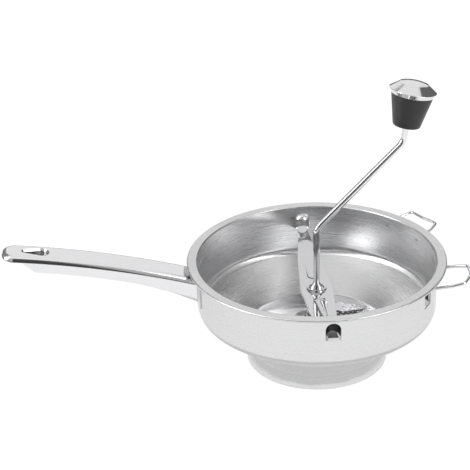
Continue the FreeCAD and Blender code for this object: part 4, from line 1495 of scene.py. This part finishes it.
@dataclass
class Studio:
    """A pale floor, a white surround, soft lamps and the camera."""

    floor_reach: float = 6.0
    floor_drop: float = 0.0006
    floor_tone: float = 0.86
    floor_glow: float = 0.62
    world_light: float = 0.45
    lamp_aim: tuple[float, float, float] = (0.0, 0.0, 0.08)
    camera_place: tuple[float, float, float] = (-0.15795, -1.19497, 0.72229)
    camera_aim: tuple[float, float, float] = (-0.05335, 0.0, 0.12898)
    camera_roll: float = -0.0208
    lens: float = 112.252
    shift: tuple[float, float] = (-0.05, 0.0)
    sensor: float = 36.0
    clip: tuple[float, float] = (0.05, 30.0)
    flags: tuple[Flag, ...] = (
        Flag("camera_side_flag", -112.0, -84.0, 0.06, low=0.05, low_reach=2.3, high_reach=1.2),
        Flag("left_edge_flag", -200.0, -181.0, 0.60),
        Flag("left_fan", -181.0, -157.0, 5.60, low=0.45),
        Flag("front_left_flag", -157.0, -112.0, 0.56),
        Flag("front_right_flag", -84.0, -52.0, 0.52),
        Flag("right_fan", -52.0, -28.0, 4.20, low=0.45),
        Flag("right_edge_flag", -28.0, 8.0, 0.30),
        Flag("back_right_flag", 8.0, 56.0, 0.16, high=2.3, high_reach=1.4),
        Flag("back_left_flag", 108.0, 160.0, 0.28, high=2.3, high_reach=1.4),
        Flag("horizon_flag", 0.0, 360.0, 0.12, low=0.02, high=0.62, low_reach=2.6,
             high_reach=2.5),
        Flag("foot_shade", 0.0, 360.0, 0.78, low=0.0004, high=0.0005, low_reach=0.078,
             high_reach=0.15),
    )

    def seen_or_mirrored(self, tree: Tree) -> bpy.types.NodeSocket:
        """Tell what the eye meets, straight or in a mirror, from what only lights the mill.

        Args:
            tree: the tree that asks.

        Returns:
            1 for camera, glossy and transmission rays, otherwise 0.
        """
        path = tree.add("ShaderNodeLightPath")
        first = tree.math("MAXIMUM", path.outputs["Is Camera Ray"], path.outputs["Is Glossy Ray"])
        return tree.math("MAXIMUM", first, path.outputs["Is Transmission Ray"])

    def build_world(self) -> None:
        """White where it is seen or mirrored, softer as a light."""
        world = bpy.data.worlds.new("studio_surround")
        bpy.context.scene.world = world
        world.use_nodes = True
        world.node_tree.nodes.clear()
        tree = Tree(world.node_tree)
        mix = tree.add("ShaderNodeMixShader")
        tree.link(self.seen_or_mirrored(tree), mix.inputs[0])
        for socket, strength in ((1, self.world_light), (2, 1.0)):
            light = tree.add("ShaderNodeBackground", Color=(1.0, 1.0, 1.0, 1.0),
                             Strength=strength)
            tree.link(light.outputs[0], mix.inputs[socket])
        output = tree.add("ShaderNodeOutputWorld")
        tree.link(mix.outputs[0], output.inputs["Surface"])

    def build_floor(self) -> None:
        """A pale floor that keeps a faint shadow."""
        reach = self.floor_reach
        mesh = bpy.data.meshes.new("studio_floor")
        corners = [(-reach, -reach, 0.0), (reach, -reach, 0.0), (reach, reach, 0.0),
                   (-reach, reach, 0.0)]
        mesh.from_pydata(corners, [], [(0, 1, 2, 3)])
        floor = bpy.data.objects.new("studio_floor", mesh)
        floor.location.z = -self.floor_drop
        bpy.context.scene.collection.objects.link(floor)
        tone = self.floor_tone
        material, tree, shader = new_material(
            "pale_floor", Base_Color=(tone, tone, tone, 1.0), Roughness=0.9,
            Specular_IOR_Level=0.0, Emission_Color=(1.0, 1.0, 1.0, 1.0))
        glow = tree.math("MULTIPLY", self.seen_or_mirrored(tree), self.floor_glow)
        tree.link(glow, shader.inputs["Emission Strength"])
        floor.data.materials.append(material)

    def add_lamp(self, name: str, place: tuple[float, float, float], size: tuple[float, float],
                 watts: float) -> None:
        """Hang one soft rectangular lamp that points at the mill.

        Args:
            name: the lamp's name.
            place: where it hangs.
            size: its width and height.
            watts: its power.
        """
        data = bpy.data.lights.new(name, "AREA")
        data.shape = "RECTANGLE"
        data.size, data.size_y = size
        data.energy = watts
        lamp = bpy.data.objects.new(name, data)
        lamp.location = place
        aim = Vector(self.lamp_aim) - Vector(place)
        lamp.rotation_mode = "QUATERNION"
        lamp.rotation_quaternion = aim.to_track_quat("-Z", "Y")
        lamp.visible_glossy = False
        bpy.context.scene.collection.objects.link(lamp)

    def add_flag(self, flag: Flag) -> None:
        """Stand one curved panel round the mill that only its polished metal mirrors.

        Args:
            flag: the panel's place, size and tone.
        """
        steps = flag.steps
        mesh = bpy.data.meshes.new(flag.name)
        corners = []
        for step in range(steps + 1):
            turn = math.radians(flag.start_deg + (flag.end_deg - flag.start_deg) * step / steps)
            for reach, height in ((flag.low_reach, flag.low), (flag.high_reach, flag.high)):
                corners.append((reach * math.cos(turn), reach * math.sin(turn), height))
        faces = [(2 * k, 2 * k + 2, 2 * k + 3, 2 * k + 1) for k in range(steps)]
        mesh.from_pydata(corners, [], faces)
        panel = bpy.data.objects.new(flag.name, mesh)
        bpy.context.scene.collection.objects.link(panel)
        for ray in ("camera", "diffuse", "transmission", "volume_scatter", "shadow"):
            setattr(panel, "visible_" + ray, False)
        material, _, _ = new_material(flag.name, "ShaderNodeEmission",
                                      Color=(flag.tone, flag.tone, flag.tone, 1.0))
        mesh.materials.append(material)

    def build_lamps(self) -> None:
        """Soft boxes to the left and right of the camera, and the panels round the mill."""
        self.add_lamp("left_soft_box", (-1.5, -1.1, 1.1), (0.7, 1.0), 6.0)
        self.add_lamp("right_soft_box", (1.35, -1.0, 1.1), (0.6, 1.0), 5.0)
        for flag in self.flags:
            self.add_flag(flag)

    def build_camera(self) -> None:
        """Set up the camera."""
        data = bpy.data.cameras.new("studio_camera")
        data.lens = self.lens
        data.sensor_width = self.sensor
        data.shift_x, data.shift_y = self.shift
        data.clip_start, data.clip_end = self.clip
        camera = bpy.data.objects.new("studio_camera", data)
        place = Vector(self.camera_place)
        turn = (Vector(self.camera_aim) - place).to_track_quat("-Z", "Y").to_matrix()
        roll = Matrix.Rotation(self.camera_roll, 3, "Z")
        camera.matrix_world = Matrix.Translation(place) @ (turn @ roll).to_4x4()
        bpy.context.scene.collection.objects.link(camera)
        bpy.context.scene.camera = camera

    def build(self) -> None:
        """Set up the whole studio."""
        self.build_world()
        self.build_floor()
        self.build_lamps()
        self.build_camera()
        bpy.context.scene.view_settings.view_transform = "Standard"


def main() -> None:
    """Build every sub-assembly in order and report it."""
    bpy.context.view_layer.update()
    finishes = Finishes()
    for assembly in (Bowl(finishes), SieveDisc(finishes), Crossbar(finishes),
                     PressureSpring(finishes), CrankAndBlade(finishes), Knob(finishes),
                     Handle(finishes), PotHooks(finishes)):
        LOG.info("building %s", type(assembly).__name__)
        assembly.build()
    Studio().build()


if __name__ == "__main__":
    main()
